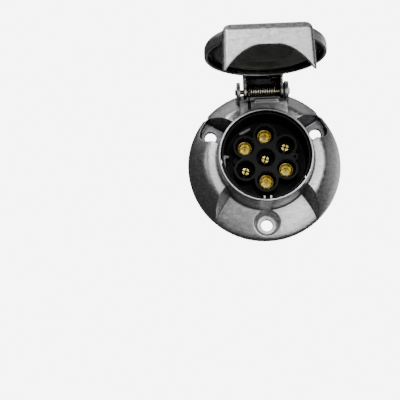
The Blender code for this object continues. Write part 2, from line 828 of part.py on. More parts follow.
def make_lid(surface):
    """The lid and every tool that shapes it, in the closed position."""
    lid = lid_cup(surface)
    arm = lid_arm()
    join(lid, arm)
    inside = rod("cup_inside_cutter", CUP_INNER, 20.0 * MM, CUP_FLOOR, FINE)
    cut(lid, inside)
    channel = lid_channel_cutter()
    cut(lid, channel)
    boss = spring_boss()
    join(lid, boss)
    leg_hole = rod("free_leg_cutter", 0.8 * MM, 25.0 * MM, 28.4 * MM, TINY)
    cut(lid, moved(leg_hole, Vector((FREE_LEG_X, 0.0, FREE_LEG_Z))))
    front = block("lid_front_cutter", (-30.0 * MM, 30.0 * MM), (20.0 * MM, 35.0 * MM), (-33.0 * MM, -24.0 * MM))
    cut(lid, front)
    hood = hood_shell()
    hood_tools = [hood_inside_cutter(), arch_cutter(), hood_side_cutter()]
    for tool in hood_tools:
        cut(hood, tool)
    join(lid, hood)
    bore = along_x(rod("lug_hole_cutter", PIN_RADIUS + 0.25 * MM, -12.0 * MM, 12.0 * MM, SMALL))
    moved(bore, PIN_POINT)
    cut(lid, bore)
    return [lid, arm, inside, channel, boss, leg_hole, front, hood, bore] + hood_tools


def make_lid_seal(surface):
    """The rubber disc in the cup, with a raised ring that meets the barrel's rim."""
    profile = [
        (24.9 * MM, CUP_FLOOR - GAP),
        (24.9 * MM, 27.7 * MM),
        (24.4 * MM, 27.4 * MM),
        (22.2 * MM, 27.4 * MM),
        (21.6 * MM, 28.1 * MM),
    ]
    return turned("lid_seal", profile, 40, surface)


def hang_on_hinge(pieces):
    """Gives each piece its origin on the hinge axis and swings it open with the hinge empty."""
    hinge = bpy.data.objects.new("lid_hinge", None)
    bpy.context.scene.collection.objects.link(hinge)
    hinge.location = PIN_POINT
    hinge.rotation_euler = (-math.radians(LID_OPEN_DEG), 0.0, 0.0)
    for piece in pieces:
        moved(piece, -PIN_POINT)
        piece.parent = hinge


def main():
    clear_scene()
    casting = finish_material("cast_aluminium", (0.62, 0.62, 0.62), 0.9, 0.42)
    lid_casting = finish_material("lid_aluminium", (0.66, 0.66, 0.66), 0.9, 0.38)
    black_plastic = finish_material("black_plastic", (0.02, 0.02, 0.022), 0.0, 0.5)
    retainer_plastic = finish_material("retainer_plastic", (0.03, 0.03, 0.032), 0.0, 0.55)
    brass = finish_material("brass", (0.78, 0.58, 0.22), 1.0, 0.28)
    steel = finish_material("zinc_steel", (0.6, 0.6, 0.6), 1.0, 0.35)
    yellow_zinc = finish_material("yellow_zinc", (0.62, 0.55, 0.25), 1.0, 0.35)
    spring_steel = finish_material("spring_steel", (0.45, 0.44, 0.42), 1.0, 0.3)
    rubber = finish_material("seal_rubber", (0.05, 0.05, 0.048), 0.0, 0.7)

    make_housing(casting)
    make_carrier(black_plastic)
    make_retainer(retainer_plastic)
    for name, angle_deg in CONTACTS.items():
        make_contact(name, angle_deg, brass)
    make_rear_screws(steel)
    make_terminal_screws(steel)
    make_hinge_pin(yellow_zinc)
    make_spring(spring_steel)
    hang_on_hinge(make_lid(lid_casting) + [make_lid_seal(rubber)])


main()
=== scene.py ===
"""Looks for the seven-pole trailer socket: detailed meshes, materials, light and camera.

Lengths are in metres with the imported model's axes: the socket's axis is Y, its mouth faces -Y and the
hinge is at the top, +Z. A height is measured forward from the flange's back face, so y = -height.
"""

import math

import bmesh
import bpy
from mathutils import Matrix, Vector


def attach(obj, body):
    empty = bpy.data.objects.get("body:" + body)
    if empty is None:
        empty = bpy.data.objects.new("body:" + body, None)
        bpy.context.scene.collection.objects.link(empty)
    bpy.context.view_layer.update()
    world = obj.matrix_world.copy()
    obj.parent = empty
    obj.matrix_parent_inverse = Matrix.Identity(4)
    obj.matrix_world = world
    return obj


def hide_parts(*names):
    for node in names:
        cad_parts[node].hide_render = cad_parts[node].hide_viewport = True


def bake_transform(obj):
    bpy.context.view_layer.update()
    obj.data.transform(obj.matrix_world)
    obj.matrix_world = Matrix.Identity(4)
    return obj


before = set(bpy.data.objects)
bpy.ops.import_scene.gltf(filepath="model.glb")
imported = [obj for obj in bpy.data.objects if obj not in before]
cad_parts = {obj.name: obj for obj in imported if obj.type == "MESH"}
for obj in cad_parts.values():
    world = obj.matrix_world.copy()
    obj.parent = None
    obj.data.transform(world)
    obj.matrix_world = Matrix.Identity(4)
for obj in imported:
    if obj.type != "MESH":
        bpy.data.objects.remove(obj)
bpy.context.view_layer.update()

MM = 0.001

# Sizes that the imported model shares
FLANGE_RADIUS = 40.5 * MM
HOLE_RADIUS = 3.0 * MM
HOLE_SPACING = 56.0 * MM
HOLE_CIRCLE = HOLE_SPACING / math.sqrt(3.0)
HOLE_ANGLES = (30.0, 150.0, 270.0)
EAR_ANGLES = (90.0, 210.0, 330.0)
EAR_CIRCLE = 28.5 * MM
BORE_RADIUS = 22.9 * MM
RIM_HEIGHT = 27.0 * MM
RIM_RADIUS = 24.05 * MM
POCKET_FLOOR = 3.0 * MM
BARREL_BASE_RADIUS = 24.95 * MM
BARREL_TOP_RADIUS = 24.6 * MM
BARREL_CLEAR_RADIUS = 25.1 * MM
RECESS_RADIUS = 5.3 * MM
CONTACT_CIRCLE = 12.0 * MM
PIN_HEIGHT = 19.5 * MM
PIN_Z = 35.4 * MM
PIN_POINT = Vector((0.0, -PIN_HEIGHT, PIN_Z))
PIN_RADIUS = 1.25 * MM
BLOCK_HALF_WIDTH = 12.0 * MM
BLOCK_FRONT = 24.6 * MM
HINGE_EARS = ((-13.6 * MM, -11.6 * MM), (11.0 * MM, 13.3 * MM))
HINGE_EAR_RADIUS = 5.1 * MM
GROOVE_X = -7.35 * MM
LEG_END = Vector((0.0, -3.85 * MM, -10.0 * MM))
PAD_ANGLE = 270.0
LID_RADIUS = 29.3 * MM
LID_TOP = 32.3 * MM
LID_MOUTH = 25.6 * MM
LID_OPEN_DEG = 89.0

# Segments round a turned surface
ROUND = 192
SMALL_ROUND = 48
TINY_ROUND = 32


# Mesh tools

def in_mm(*points):
    """Points whose numbers are given in millimetres, as a list in metres."""
    return [tuple(value * MM for value in point) for point in points]


def at(radius, angle_deg, height):
    """The point at a radius and an angle round the socket axis, at a height above the back face."""
    angle = math.radians(angle_deg)
    return Vector((radius * math.cos(angle), -height, radius * math.sin(angle)))


def spread(first, last, count):
    return [first + (last - first) * step / (count - 1) for step in range(count)]


def new_object(name, mesh):
    made = bpy.data.objects.new(name, mesh)
    bpy.context.scene.collection.objects.link(made)
    return made


def make_object(name, mesh_data):
    bmesh.ops.recalc_face_normals(mesh_data, faces=mesh_data.faces)
    mesh = bpy.data.meshes.new(name)
    mesh_data.to_mesh(mesh)
    mesh_data.free()
    mesh.shade_smooth()
    return new_object(name, mesh)


def lofted(name, loops):
    """Matching loops of points joined in order, with the first and the last capped."""
    data = bmesh.new()
    rings = [[data.verts.new(point) for point in loop] for loop in loops]
    count = len(rings[0])
    for ring, following in zip(rings, rings[1:]):
        for step in range(count):
            after = (step + 1) % count
            data.faces.new((ring[step], ring[after], following[after], following[step]))
    data.faces.new(rings[0])
    data.faces.new(rings[-1])
    return make_object(name, data)


def turned(name, profile, segments):
    """A profile of (radius, height) points turned round the Y axis, with flat ends."""
    angles = [360.0 * step / segments for step in range(segments)]
    return lofted(name, [[at(radius, angle, height) for angle in angles] for radius, height in profile])


def prism_along_x(name, outline, low_x, high_x):
    """An outline of (height, z) points between two x planes."""
    return lofted(name, [[Vector((x, -height, z)) for height, z in outline] for x in (low_x, high_x)])


def prism_forward(name, outline, low, high):
    """An outline of (x, z) points between two heights."""
    return lofted(name, [[Vector((x, -height, z)) for x, z in outline] for height in (low, high)])


def block(name, x_span, height_span, z_span):
    outline = [
        (x_span[0], z_span[0]),
        (x_span[1], z_span[0]),
        (x_span[1], z_span[1]),
        (x_span[0], z_span[1]),
    ]
    return prism_forward(name, outline, height_span[0], height_span[1])


def rod(name, radius, low, high, segments=TINY_ROUND):
    return turned(name, [(radius, low), (radius, high)], segments)


def along_x(piece):
    piece.data.transform(Matrix.Rotation(math.radians(90.0), 4, "Z"))
    return piece


def moved(piece, offset):
    piece.data.transform(Matrix.Translation(offset))
    return piece


def turned_by(piece, angle_deg):
    """Turns a piece round the socket axis, from +X towards +Z."""
    piece.data.transform(Matrix.Rotation(math.radians(-angle_deg), 4, "Y"))
    return piece


def arc_points(centre, radius, first_deg, last_deg, count):
    points = []
    for angle_deg in spread(first_deg, last_deg, count):
        angle = math.radians(angle_deg)
        points.append((centre[0] + radius * math.cos(angle), centre[1] + radius * math.sin(angle)))
    return points


def curved(points, steps):
    """A smooth run of 2-D points through the given ones (Catmull-Rom)."""
    run = []
    last = len(points) - 1
    for index in range(last):
        before = Vector(points[max(index - 1, 0)])
        start = Vector(points[index])
        end = Vector(points[index + 1])
        after = Vector(points[min(index + 2, last)])
        for step in range(steps):
            t = step / steps
            point = (
                start * 2.0
                + (end - before) * t
                + (before * 2.0 - start * 5.0 + end * 4.0 - after) * t**2
                + (start * 3.0 - before - end * 3.0 + after) * t**3
            ) * 0.5
            run.append((point.x, point.y))
    run.append(tuple(points[-1]))
    return run


def tube(name, path, radius, sides):
    """A round wire along a path of points, with filled ends."""
    loops = []
    normal = None
    for index, point in enumerate(path):
        before = path[max(index - 1, 0)]
        after = path[min(index + 1, len(path) - 1)]
        direction = (after - before).normalized()
        if normal is None:
            normal = direction.orthogonal()
        normal = (normal - direction * normal.dot(direction)).normalized()
        side = direction.cross(normal)
        loop = []
        for step in range(sides):
            angle = math.tau * step / sides
            loop.append(point + (normal * math.cos(angle) + side * math.sin(angle)) * radius)
        loops.append(loop)
    return lofted(name, loops)


def shaped(name, body, steps):
    """Applies cuts and joins to a body in order and gives the result as one plain mesh object."""
    for operation, tool in steps:
        change = body.modifiers.new(tool.name, "BOOLEAN")
        change.operation = operation
        change.object = tool
        change.solver = "EXACT"
    mesh = evaluated_mesh(body)
    for spent in [body] + [tool for _, tool in steps]:
        bpy.data.objects.remove(spent)
    mesh.name = name
    return new_object(name, mesh)


def evaluated_mesh(item):
    graph = bpy.context.evaluated_depsgraph_get()
    return bpy.data.meshes.new_from_object(item.evaluated_get(graph))


def softened(piece, voxel, passes, triangles):
    """Rounds every edge and corner the way a casting or a moulding does, then thins the mesh."""
    remesh = piece.modifiers.new("remesh", "REMESH")
    remesh.mode = "VOXEL"
    remesh.voxel_size = voxel
    remesh.use_smooth_shade = True
    smooth = piece.modifiers.new("smooth", "SMOOTH")
    smooth.factor = 0.5
    smooth.iterations = passes
    dense = evaluated_mesh(piece)
    piece.modifiers.clear()
    piece.data = dense
    count = sum(len(face.vertices) - 2 for face in dense.polygons)
    if count > triangles:
        thin = piece.modifiers.new("thin", "DECIMATE")
        thin.ratio = triangles / count
        piece.data = evaluated_mesh(piece)
        piece.modifiers.clear()
    piece.data.shade_smooth()
    return piece


def crisp(piece, angle_deg=35.0):
    piece.data.shade_smooth()
    piece.data.set_sharp_from_angle(angle=math.radians(angle_deg))
    return piece


CUT = "DIFFERENCE"
JOIN = "UNION"


# Housing

def housing_blank():
    """The dome, flange and barrel as one solid of revolution, before any pocket is cut."""
    edge = [(FLANGE_RADIUS, 0.0), (FLANGE_RADIUS, 2.8 * MM)]
    crown = in_mm(
        (39.9, 5.0), (37.8, 9.0), (35.4, 12.4), (33.2, 15.0),
        (31.6, 16.55), (30.2, 17.4), (28.6, 17.85), (25.8, 18.15),
    )
    dome = curved(edge[1:] + crown, 5)[1:]
    barrel = in_mm((25.0, 18.6), (24.65, 19.6), (24.55, 20.8))
    rim = [(RIM_RADIUS, RIM_HEIGHT - 0.2 * MM), (RIM_RADIUS - 0.2 * MM, RIM_HEIGHT)]
    return turned("housing_blank", edge + dome + barrel + rim, ROUND)


def lower_pad_cutter():
    """The wide flat sector round the lower screw, with side walls that lean outward as they rise."""
    floor_half_angle = 46.0
    lean_deg_per_mm = 1.0
    floor_height = 8.0
    top = 32.0 * MM
    outside = 46.0 * MM
    profile = [(BARREL_BASE_RADIUS, 9.3 * MM)]
    profile += in_mm(
        (25.4, 8.6), (27.6, 8.1), (30.0, 7.35), (33.0, 6.4),
        (36.0, 5.3), (38.0, 4.45), (39.4, 3.7), (40.2, 2.9),
    )
    profile += [
        (FLANGE_RADIUS + 0.1 * MM, 2.0 * MM),
        (outside, 2.0 * MM),
        (outside, top),
        (BARREL_CLEAR_RADIUS, top),
        (BARREL_CLEAR_RADIUS, 22.0 * MM),
        (BARREL_TOP_RADIUS, 19.0 * MM),
    ]
    loops = []
    for side in spread(-1.0, 1.0, 61):
        loop = []
        for radius, height in profile:
            half = floor_half_angle + lean_deg_per_mm * (height / MM - floor_height)
            loop.append(at(radius, PAD_ANGLE + side * half, height))
        loops.append(loop)
    return lofted("lower_pad_cutter", loops)


def slot_point(side, along, across, height):
    """A point in the frame of an upper screw slot: along its radial line and across, towards the hinge."""
    angle = math.radians(HOLE_ANGLES[0])
    x = along * math.cos(angle) - across * math.sin(angle)
    z = along * math.sin(angle) + across * math.cos(angle)
    return Vector((side * x, -height, z))


def upper_slot_cutter(side):
    """A slot from the barrel past an upper screw hole, open to the front; its upper wall leans back."""
    lower_edge = -4.4 * MM
    outer_radius = 38.2 * MM
    lean = 0.22
    levels = [
        (POCKET_FLOOR, BARREL_BASE_RADIUS),
        (11.0 * MM, 24.8 * MM),
        (19.0 * MM, BARREL_TOP_RADIUS),
        (22.0 * MM, BARREL_CLEAR_RADIUS),
        (30.0 * MM, BARREL_CLEAR_RADIUS),
    ]
    loops = []
    for height, inner_radius in levels:
        upper_edge = 6.0 * MM + lean * (height - POCKET_FLOOR)
        loop = []
        for across in spread(lower_edge, upper_edge, 25):
            loop.append(slot_point(side, math.sqrt(inner_radius**2 - across**2), across, height))
        for across in spread(upper_edge, 0.5 * MM, 17):
            loop.append(slot_point(side, math.sqrt(outer_radius**2 - across**2), across, height))
        loop.append(slot_point(side, 33.0 * MM, lower_edge, height))
        loops.append(loop)
    return lofted(f"upper_slot_cutter_{side:+d}", loops)


def screw_recess_cutter(angle_deg, upper_radius):
    profile = [
        (RECESS_RADIUS - 0.4 * MM, POCKET_FLOOR),
        (RECESS_RADIUS, 3.6 * MM),
        (upper_radius, 7.0 * MM),
        (upper_radius, 30.0 * MM),
    ]
    cutter = turned(f"recess_cutter_{angle_deg:.0f}", profile, SMALL_ROUND)
    return moved(cutter, at(HOLE_CIRCLE, angle_deg, 0.0))


def hole_cutter(name, radius, circle, angle_deg, low, high):
    return moved(rod(name, radius, low, high, SMALL_ROUND), at(circle, angle_deg, 0.0))


def cavity_cutter(name, profile, first_deg, last_deg):
    """A hollow in the back of the casting, between two angles."""
    count = round((last_deg - first_deg) / 2.0) + 1
    loops = [[at(r, angle, h) for r, h in profile] for angle in spread(first_deg, last_deg, count)]
    return lofted(name, loops)


def back_cavity_cutters():
    dome_profile = in_mm(
        (26.2, -1.0), (26.2, 15.4), (29.2, 15.0), (31.1, 13.4), (35.7, 7.4), (37.6, 3.8), (37.6, -1.0)
    )
    cutters = []
    for first, last in ((57.0, 80.0), (100.0, 123.0), (165.5, 200.0), (340.0, 374.5)):
        cutters.append(cavity_cutter(f"dome_cavity_{first:.0f}", dome_profile, first, last))
    return cutters


def hinge_block():
    outline = [(12.0 * MM, 20.0 * MM), (BLOCK_FRONT, 20.0 * MM), (BLOCK_FRONT, 28.2 * MM)]
    outline += in_mm((24.2, 29.0), (23.2, 29.8), (12.0, 30.4))
    return prism_along_x("hinge_block", outline, -BLOCK_HALF_WIDTH, BLOCK_HALF_WIDTH)


def hinge_ear(low_x, high_x):
    """A round-topped cheek that runs down into the dome."""
    outline = arc_points((PIN_HEIGHT, PIN_Z), HINGE_EAR_RADIUS, -81.0, 104.0, 33)
    outline += in_mm((6.5, 37.0), (5.0, 33.0), (12.0, 27.0), (14.5, 29.8))
    return prism_along_x("hinge_ear", outline, low_x, high_x)


def hinge_joins():
    """The hinge block, its two ears and the bead along its front edge."""
    joins = [(JOIN, hinge_block())]
    joins += [(JOIN, hinge_ear(low_x, high_x)) for low_x, high_x in HINGE_EARS]
    bead = arc_points((24.2 * MM, 29.3 * MM), 1.1 * MM, 0.0, 345.0, 24)
    joins.append((JOIN, prism_along_x("stop_bead", bead, -4.7 * MM, 7.5 * MM)))
    return joins


def key_rib_joins():
    joins = []
    for side in (-1, 1):
        inner, outer = sorted((side * 1.0 * MM, side * 2.1 * MM))
        rib = block(f"key_rib_{side:+d}", (inner, outer), (11.5 * MM, 25.0 * MM), (-23.2 * MM, -20.7 * MM))
        joins.append((JOIN, rib))
    return joins


def screw_pocket_cuts():
    """The lower sector, both upper slots with their nicks, and the three mounting screw holes."""
    cuts = [(CUT, lower_pad_cutter())]
    for side in (-1, 1):
        cuts.append((CUT, upper_slot_cutter(side)))
        nick = rod(f"nick_cutter_{side:+d}", 1.7 * MM, -1.0 * MM, 30.0 * MM)
        cuts.append((CUT, moved(nick, slot_point(side, 39.7 * MM, 7.7 * MM, 0.0))))
    for angle_deg in HOLE_ANGLES:
        upper_radius = 7.1 * MM if angle_deg == PAD_ANGLE else 5.6 * MM
        cuts.append((CUT, screw_recess_cutter(angle_deg, upper_radius)))
        name = f"screw_hole_cutter_{angle_deg:.0f}"
        cuts.append((CUT, hole_cutter(name, HOLE_RADIUS, HOLE_CIRCLE, angle_deg, -1.0 * MM, 10.0 * MM)))
    return cuts


def carrier_seat_cuts():
    """The slots that the insert's ears lie in and the holes for their screws."""
    cuts = []
    for angle_deg in EAR_ANGLES:
        slot = block("ear_slot_cutter", (20.0 * MM, 32.4 * MM), (-1.0 * MM, 5.0 * MM), (-4.2 * MM, 4.2 * MM))
        cuts.append((CUT, turned_by(slot, angle_deg)))
        name = f"carrier_screw_hole_{angle_deg:.0f}"
        cuts.append((CUT, hole_cutter(name, 1.6 * MM, EAR_CIRCLE, angle_deg, 4.0 * MM, 12.5 * MM)))
    return cuts


def hinge_cuts():
    """The hole for the pin, the groove for the spring's fixed leg and the hole that its end hooks into."""
    pin_hole = along_x(rod("pin_hole_cutter", PIN_RADIUS + 0.2 * MM, -15.0 * MM, 15.0 * MM))
    groove_span = (-8.1 * MM, -6.6 * MM)
    groove = block("leg_groove_cutter", groove_span, (22.6 * MM, 26.0 * MM), (24.4 * MM, 34.0 * MM))
    anchor = along_x(rod("leg_anchor_cutter", 0.8 * MM, -9.5 * MM, GROOVE_X))
    return [
        (CUT, moved(pin_hole, PIN_POINT)),
        (CUT, groove),
        (CUT, moved(anchor, PIN_POINT + LEG_END)),
    ]


def make_housing():
    steps = hinge_joins()
    steps.append((CUT, rod("bore_cutter", BORE_RADIUS, -1.0 * MM, 30.0 * MM, ROUND)))
    steps += key_rib_joins()
    steps += screw_pocket_cuts()
    steps += [(CUT, cutter) for cutter in back_cavity_cutters()]
    steps += carrier_seat_cuts()
    steps += hinge_cuts()
    housing = shaped("housing_casting", housing_blank(), steps)
    return softened(housing, voxel=0.3 * MM, passes=5, triangles=190000)


# Contact insert

CARRIER_RADIUS = BORE_RADIUS - 0.4 * MM
SKIRT_INNER = 20.5 * MM
LINER_INNER = 21.5 * MM
BASE_LOW = 7.5 * MM
BASE_HIGH = 10.0 * MM
ROSETTE_TOP = 20.3 * MM
TUBE_RADIUS = 6.05 * MM
WELL_RADIUS = 4.7 * MM
WELL_FLOOR = 10.3 * MM
SLEEVE_HOLE_RADIUS = 4.15 * MM
PIN_HOLE_RADIUS = 2.7 * MM
RETAINER_SCREW_X = 14.6 * MM
RETAINER_BOSS_RADIUS = 2.1 * MM
GUARD_LOW = 9.5 * MM
GUARD_WALL_ANGLE = 117.0
CONTACTS = {
    "sleeve_contact_top": 90.0,
    "sleeve_contact_upper_left": 150.0,
    "sleeve_contact_lower_right": 330.0,
    "sleeve_contact_bottom": 270.0,
    "pin_contact_upper_right": 30.0,
    "pin_contact_lower_left": 210.0,
    "pin_contact_centre": None,
}


def contact_place(angle_deg):
    if angle_deg is None:
        return Vector((0.0, 0.0, 0.0))
    return at(CONTACT_CIRCLE, angle_deg, 0.0)


def far_side_of_circle(angle_deg, centre_deg, centre_radius, radius):
    """Where a ray from the axis leaves a circle, or 0 where it misses the circle."""
    offset = math.radians(angle_deg - centre_deg)
    miss = centre_radius * math.sin(offset)
    if math.cos(offset) <= 0.0 or abs(miss) > radius:
        return 0.0
    return centre_radius * math.cos(offset) + math.sqrt(radius**2 - miss**2)


def rosette_outline():
    """The outer line of the joined tubes, with the screw boss between the two on the right."""
    web_radius = 12.6 * MM
    points = []
    for step in range(360):
        reach = [web_radius]
        for centre_deg in range(30, 390, 60):
            reach.append(far_side_of_circle(step, centre_deg, CONTACT_CIRCLE, TUBE_RADIUS))
        reach.append(far_side_of_circle(step, 0.0, RETAINER_SCREW_X, RETAINER_BOSS_RADIUS))
        point = at(max(reach), step, 0.0)
        points.append((point.x, point.z))
    return points


def contact_well_cutter(name, centre):
    """The wide well round a contact and the narrower hole that its body fills."""
    hole_radius = PIN_HOLE_RADIUS if name.startswith("pin") else SLEEVE_HOLE_RADIUS
    profile = [
        (hole_radius, 5.0 * MM),
        (hole_radius, WELL_FLOOR),
        (WELL_RADIUS, WELL_FLOOR),
        (WELL_RADIUS, 24.0 * MM),
    ]
    return moved(turned(f"well_cutter_{name}", profile, SMALL_ROUND), centre)


def make_carrier():
    """The insert: joined tubes on a base disc, a liner in the barrel, guard walls, ears and screw bosses."""
    profile = [
        (SKIRT_INNER, BASE_LOW),
        (SKIRT_INNER, 0.8 * MM),
        (CARRIER_RADIUS, 0.8 * MM),
        (CARRIER_RADIUS, 25.5 * MM),
        (LINER_INNER, 25.5 * MM),
        (LINER_INNER, BASE_HIGH),
    ]
    body = turned("carrier_blank", profile, ROUND)
    upright = block("guard_upright", (-21.9 * MM, -20.6 * MM), (GUARD_LOW, 18.0 * MM), (-5.8 * MM, 2.4 * MM))
    ledge = block("guard_ledge", (-21.7 * MM, -18.6 * MM), (GUARD_LOW, 18.0 * MM), (1.2 * MM, 2.4 * MM))
    wall = block("guard_wall", (17.6 * MM, 18.5 * MM), (GUARD_LOW, 16.5 * MM), (-1.1 * MM, 5.3 * MM))
    rosette = prism_forward("rosette", rosette_outline(), 9.0 * MM, ROSETTE_TOP)
    steps = [(JOIN, rosette), (JOIN, upright), (JOIN, ledge), (JOIN, turned_by(wall, GUARD_WALL_ANGLE))]
    for angle_deg in EAR_ANGLES:
        ear = block("carrier_ear", (21.0 * MM, 31.8 * MM), (2.4 * MM, 4.7 * MM), (-3.8 * MM, 3.8 * MM))
        steps.append((JOIN, turned_by(ear, angle_deg)))
        name = f"carrier_ear_hole_{angle_deg:.0f}"
        steps.append((CUT, hole_cutter(name, 1.75 * MM, EAR_CIRCLE, angle_deg, 0.0, 6.0 * MM)))
    for side in (-1, 1):
        place = Vector((side * RETAINER_SCREW_X, 0.0, 0.0))
        boss = rod("retainer_boss", RETAINER_BOSS_RADIUS, 5.9 * MM, 14.5 * MM, SMALL_ROUND)
        pilot = rod("retainer_pilot", 1.5 * MM, 5.0 * MM, 13.0 * MM)
        steps += [(JOIN, moved(boss, place)), (CUT, moved(pilot, place))]
    vent = rod("vent", 0.6 * MM, 12.0 * MM, 22.0 * MM)
    steps.append((CUT, moved(vent, Vector((RETAINER_SCREW_X + 0.3 * MM, 0.0, 0.0)))))
    for name, angle_deg in CONTACTS.items():
        steps.append((CUT, contact_well_cutter(name, contact_place(angle_deg))))
    gap = block("key_gap", (-3.4 * MM, 3.4 * MM), (11.0 * MM, 27.0 * MM), (-24.0 * MM, -20.2 * MM))
    steps.append((CUT, gap))
    carrier = shaped("insert_moulding", body, steps)
    return softened(carrier, voxel=0.25 * MM, passes=3, triangles=150000)


def make_retainer():
    """The plate behind the collars of the contacts."""
    body = turned("retainer_blank", in_mm((19.6, 3.4), (19.9, 3.7), (19.9, 5.3), (19.6, 5.6)), ROUND)
    steps = []
    for name, angle_deg in CONTACTS.items():
        hole = rod(f"retainer_hole_{name}", 3.4 * MM, 2.0 * MM, 7.0 * MM, SMALL_ROUND)
        steps.append((CUT, moved(hole, contact_place(angle_deg))))
    for side in (-1, 1):
        hole = rod("retainer_screw_hole", 1.6 * MM, 2.0 * MM, 7.0 * MM)
        steps.append((CUT, moved(hole, Vector((side * RETAINER_SCREW_X, 0.0, 0.0)))))
    return crisp(shaped("retainer_plate", body, steps))


# Contacts

BODY_RADIUS = 3.95 * MM
COLLAR_RADIUS = 4.8 * MM
PIN_CONTACT_RADIUS = 2.5 * MM
TERMINAL_RADIUS = 3.0 * MM
TERMINAL_END = -9.0 * MM
TERMINAL_SCREW_HEIGHT = -4.5 * MM
WIRE_HOLE_RADIUS = 1.75 * MM
SLEEVE_MOUTH = 16.0 * MM
PIN_TIP = 15.9 * MM
PIN_SLOT_ANGLE = -17.0


def rear_profile():
    """The collar that the retainer traps and the terminal barrel with its hole for the wire."""
    return [
        (WIRE_HOLE_RADIUS, -1.0 * MM),
        (WIRE_HOLE_RADIUS, TERMINAL_END + 0.3 * MM),
        (WIRE_HOLE_RADIUS + 0.3 * MM, TERMINAL_END),
        (TERMINAL_RADIUS - 0.3 * MM, TERMINAL_END),
        (TERMINAL_RADIUS, TERMINAL_END + 0.3 * MM),
        (TERMINAL_RADIUS, 5.9 * MM),
        (COLLAR_RADIUS, 5.9 * MM),
        (COLLAR_RADIUS, 7.2 * MM),
    ]


def sleeve_profile():
    return rear_profile() + [
        (BODY_RADIUS, 7.2 * MM),
        (BODY_RADIUS, SLEEVE_MOUTH - 0.7 * MM),
        (BODY_RADIUS - 0.1 * MM, SLEEVE_MOUTH - 0.3 * MM),
        (BODY_RADIUS - 0.35 * MM, SLEEVE_MOUTH - 0.05 * MM),
        (BODY_RADIUS - 0.5 * MM, SLEEVE_MOUTH),
        (3.35 * MM, SLEEVE_MOUTH - 0.05 * MM),
        (2.6 * MM, SLEEVE_MOUTH - 1.2 * MM),
        (2.55 * MM, SLEEVE_MOUTH - 1.6 * MM),
        (2.55 * MM, 8.2 * MM),
        (2.2 * MM, 8.0 * MM),
    ]


def pin_profile():
    tip_width = 0.9 * MM
    tip_length = 1.3 * MM
    tip = []
    for turn in spread(0.0, math.pi / 2.0, 9):
        radius = PIN_CONTACT_RADIUS - tip_width * (1.0 - math.cos(turn))
        tip.append((radius, PIN_TIP - tip_length + tip_length * math.sin(turn)))
    return rear_profile() + [(PIN_CONTACT_RADIUS, 7.2 * MM)] + tip


def pin_slots():
    """The two crossing slots that let a pin spring, turned a little clockwise from upright."""
    span = (-6.0 * MM, 6.0 * MM)
    half = 0.4 * MM
    height = (PIN_TIP - 5.5 * MM, PIN_TIP + 1.0 * MM)
    slots = [
        block("pin_slot", (-half, half), height, span),
        block("pin_cross_slot", span, height, (-half, half)),
    ]
    return [turned_by(slot, PIN_SLOT_ANGLE) for slot in slots]


def make_contact(name, angle_deg):
    is_pin = name.startswith("pin")
    body = turned(f"{name}_blank", pin_profile() if is_pin else sleeve_profile(), SMALL_ROUND)
    steps = [(CUT, slot) for slot in pin_slots()] if is_pin else []
    hole = along_x(rod("terminal_hole", 1.6 * MM, 0.0, 5.0 * MM))
    moved(hole, Vector((0.0, -TERMINAL_SCREW_HEIGHT, 0.0)))
    steps.append((CUT, turned_by(hole, angle_deg or 0.0)))
    contact = shaped(f"{name}_turned", body, steps)
    return crisp(moved(contact, contact_place(angle_deg)), 28.0)


# Screws

# Shank radius, length, head radius, head length
RETAINER_SCREW = (1.25 * MM, 7.0 * MM, 2.3 * MM, 1.4 * MM)
CARRIER_SCREW = (1.35 * MM, 9.0 * MM, 2.7 * MM, 1.5 * MM)
TERMINAL_SCREW = (1.35 * MM, 2.4 * MM, 2.0 * MM, 1.5 * MM)


def make_screw(node, sizes, placing):
    """A slotted screw with a rounded head, made along Y and then placed by a matrix."""
    name = f"{node}_slotted"
    shank_radius, length, head_radius, head_length = sizes
    crown = []
    for turn in spread(math.radians(84.0), 0.0, 12):
        crown.append((head_radius * math.cos(turn), -head_length * (0.35 + 0.65 * math.sin(turn))))
    profile = crown + [
        (head_radius, 0.0),
        (shank_radius, 0.0),
        (shank_radius, length - 0.3 * MM),
        (shank_radius - 0.3 * MM, length),
    ]
    body = turned(f"{name}_blank", profile, SMALL_ROUND)
    height = (-head_length - 1.0 * MM, -0.5 * head_length)
    slot = block(f"{name}_slot", (-4.0 * MM, 4.0 * MM), height, (-0.35 * MM, 0.35 * MM))
    made = crisp(shaped(name, body, [(CUT, slot)]), 40.0)
    made.data.transform(placing)
    return made


def make_screws():
    """Every screw at the back, keyed by the node that it stands for."""
    made = {}
    for number, side in enumerate((-1, 1), start=1):
        placing = Matrix.Translation((side * RETAINER_SCREW_X, -3.1 * MM, 0.0))
        node = f"retainer_screw_{number}"
        made[node] = make_screw(node, RETAINER_SCREW, placing)
    for number, angle_deg in enumerate(EAR_ANGLES, start=1):
        placing = Matrix.Translation(at(EAR_CIRCLE, angle_deg, 2.1 * MM))
        node = f"carrier_screw_{number}"
        made[node] = make_screw(node, CARRIER_SCREW, placing)
    aim = Matrix.Rotation(math.radians(-90.0), 4, "Z")
    for number, angle_deg in enumerate(CONTACTS.values(), start=1):
        direction = angle_deg or 0.0
        place = contact_place(angle_deg) + at(3.4 * MM, direction, TERMINAL_SCREW_HEIGHT)
        turn = Matrix.Rotation(-math.radians(direction), 4, "Y")
        placing = Matrix.Translation(place) @ turn @ aim
        node = f"terminal_screw_{number}"
        made[node] = make_screw(node, TERMINAL_SCREW, placing)
    return made


# Hinge

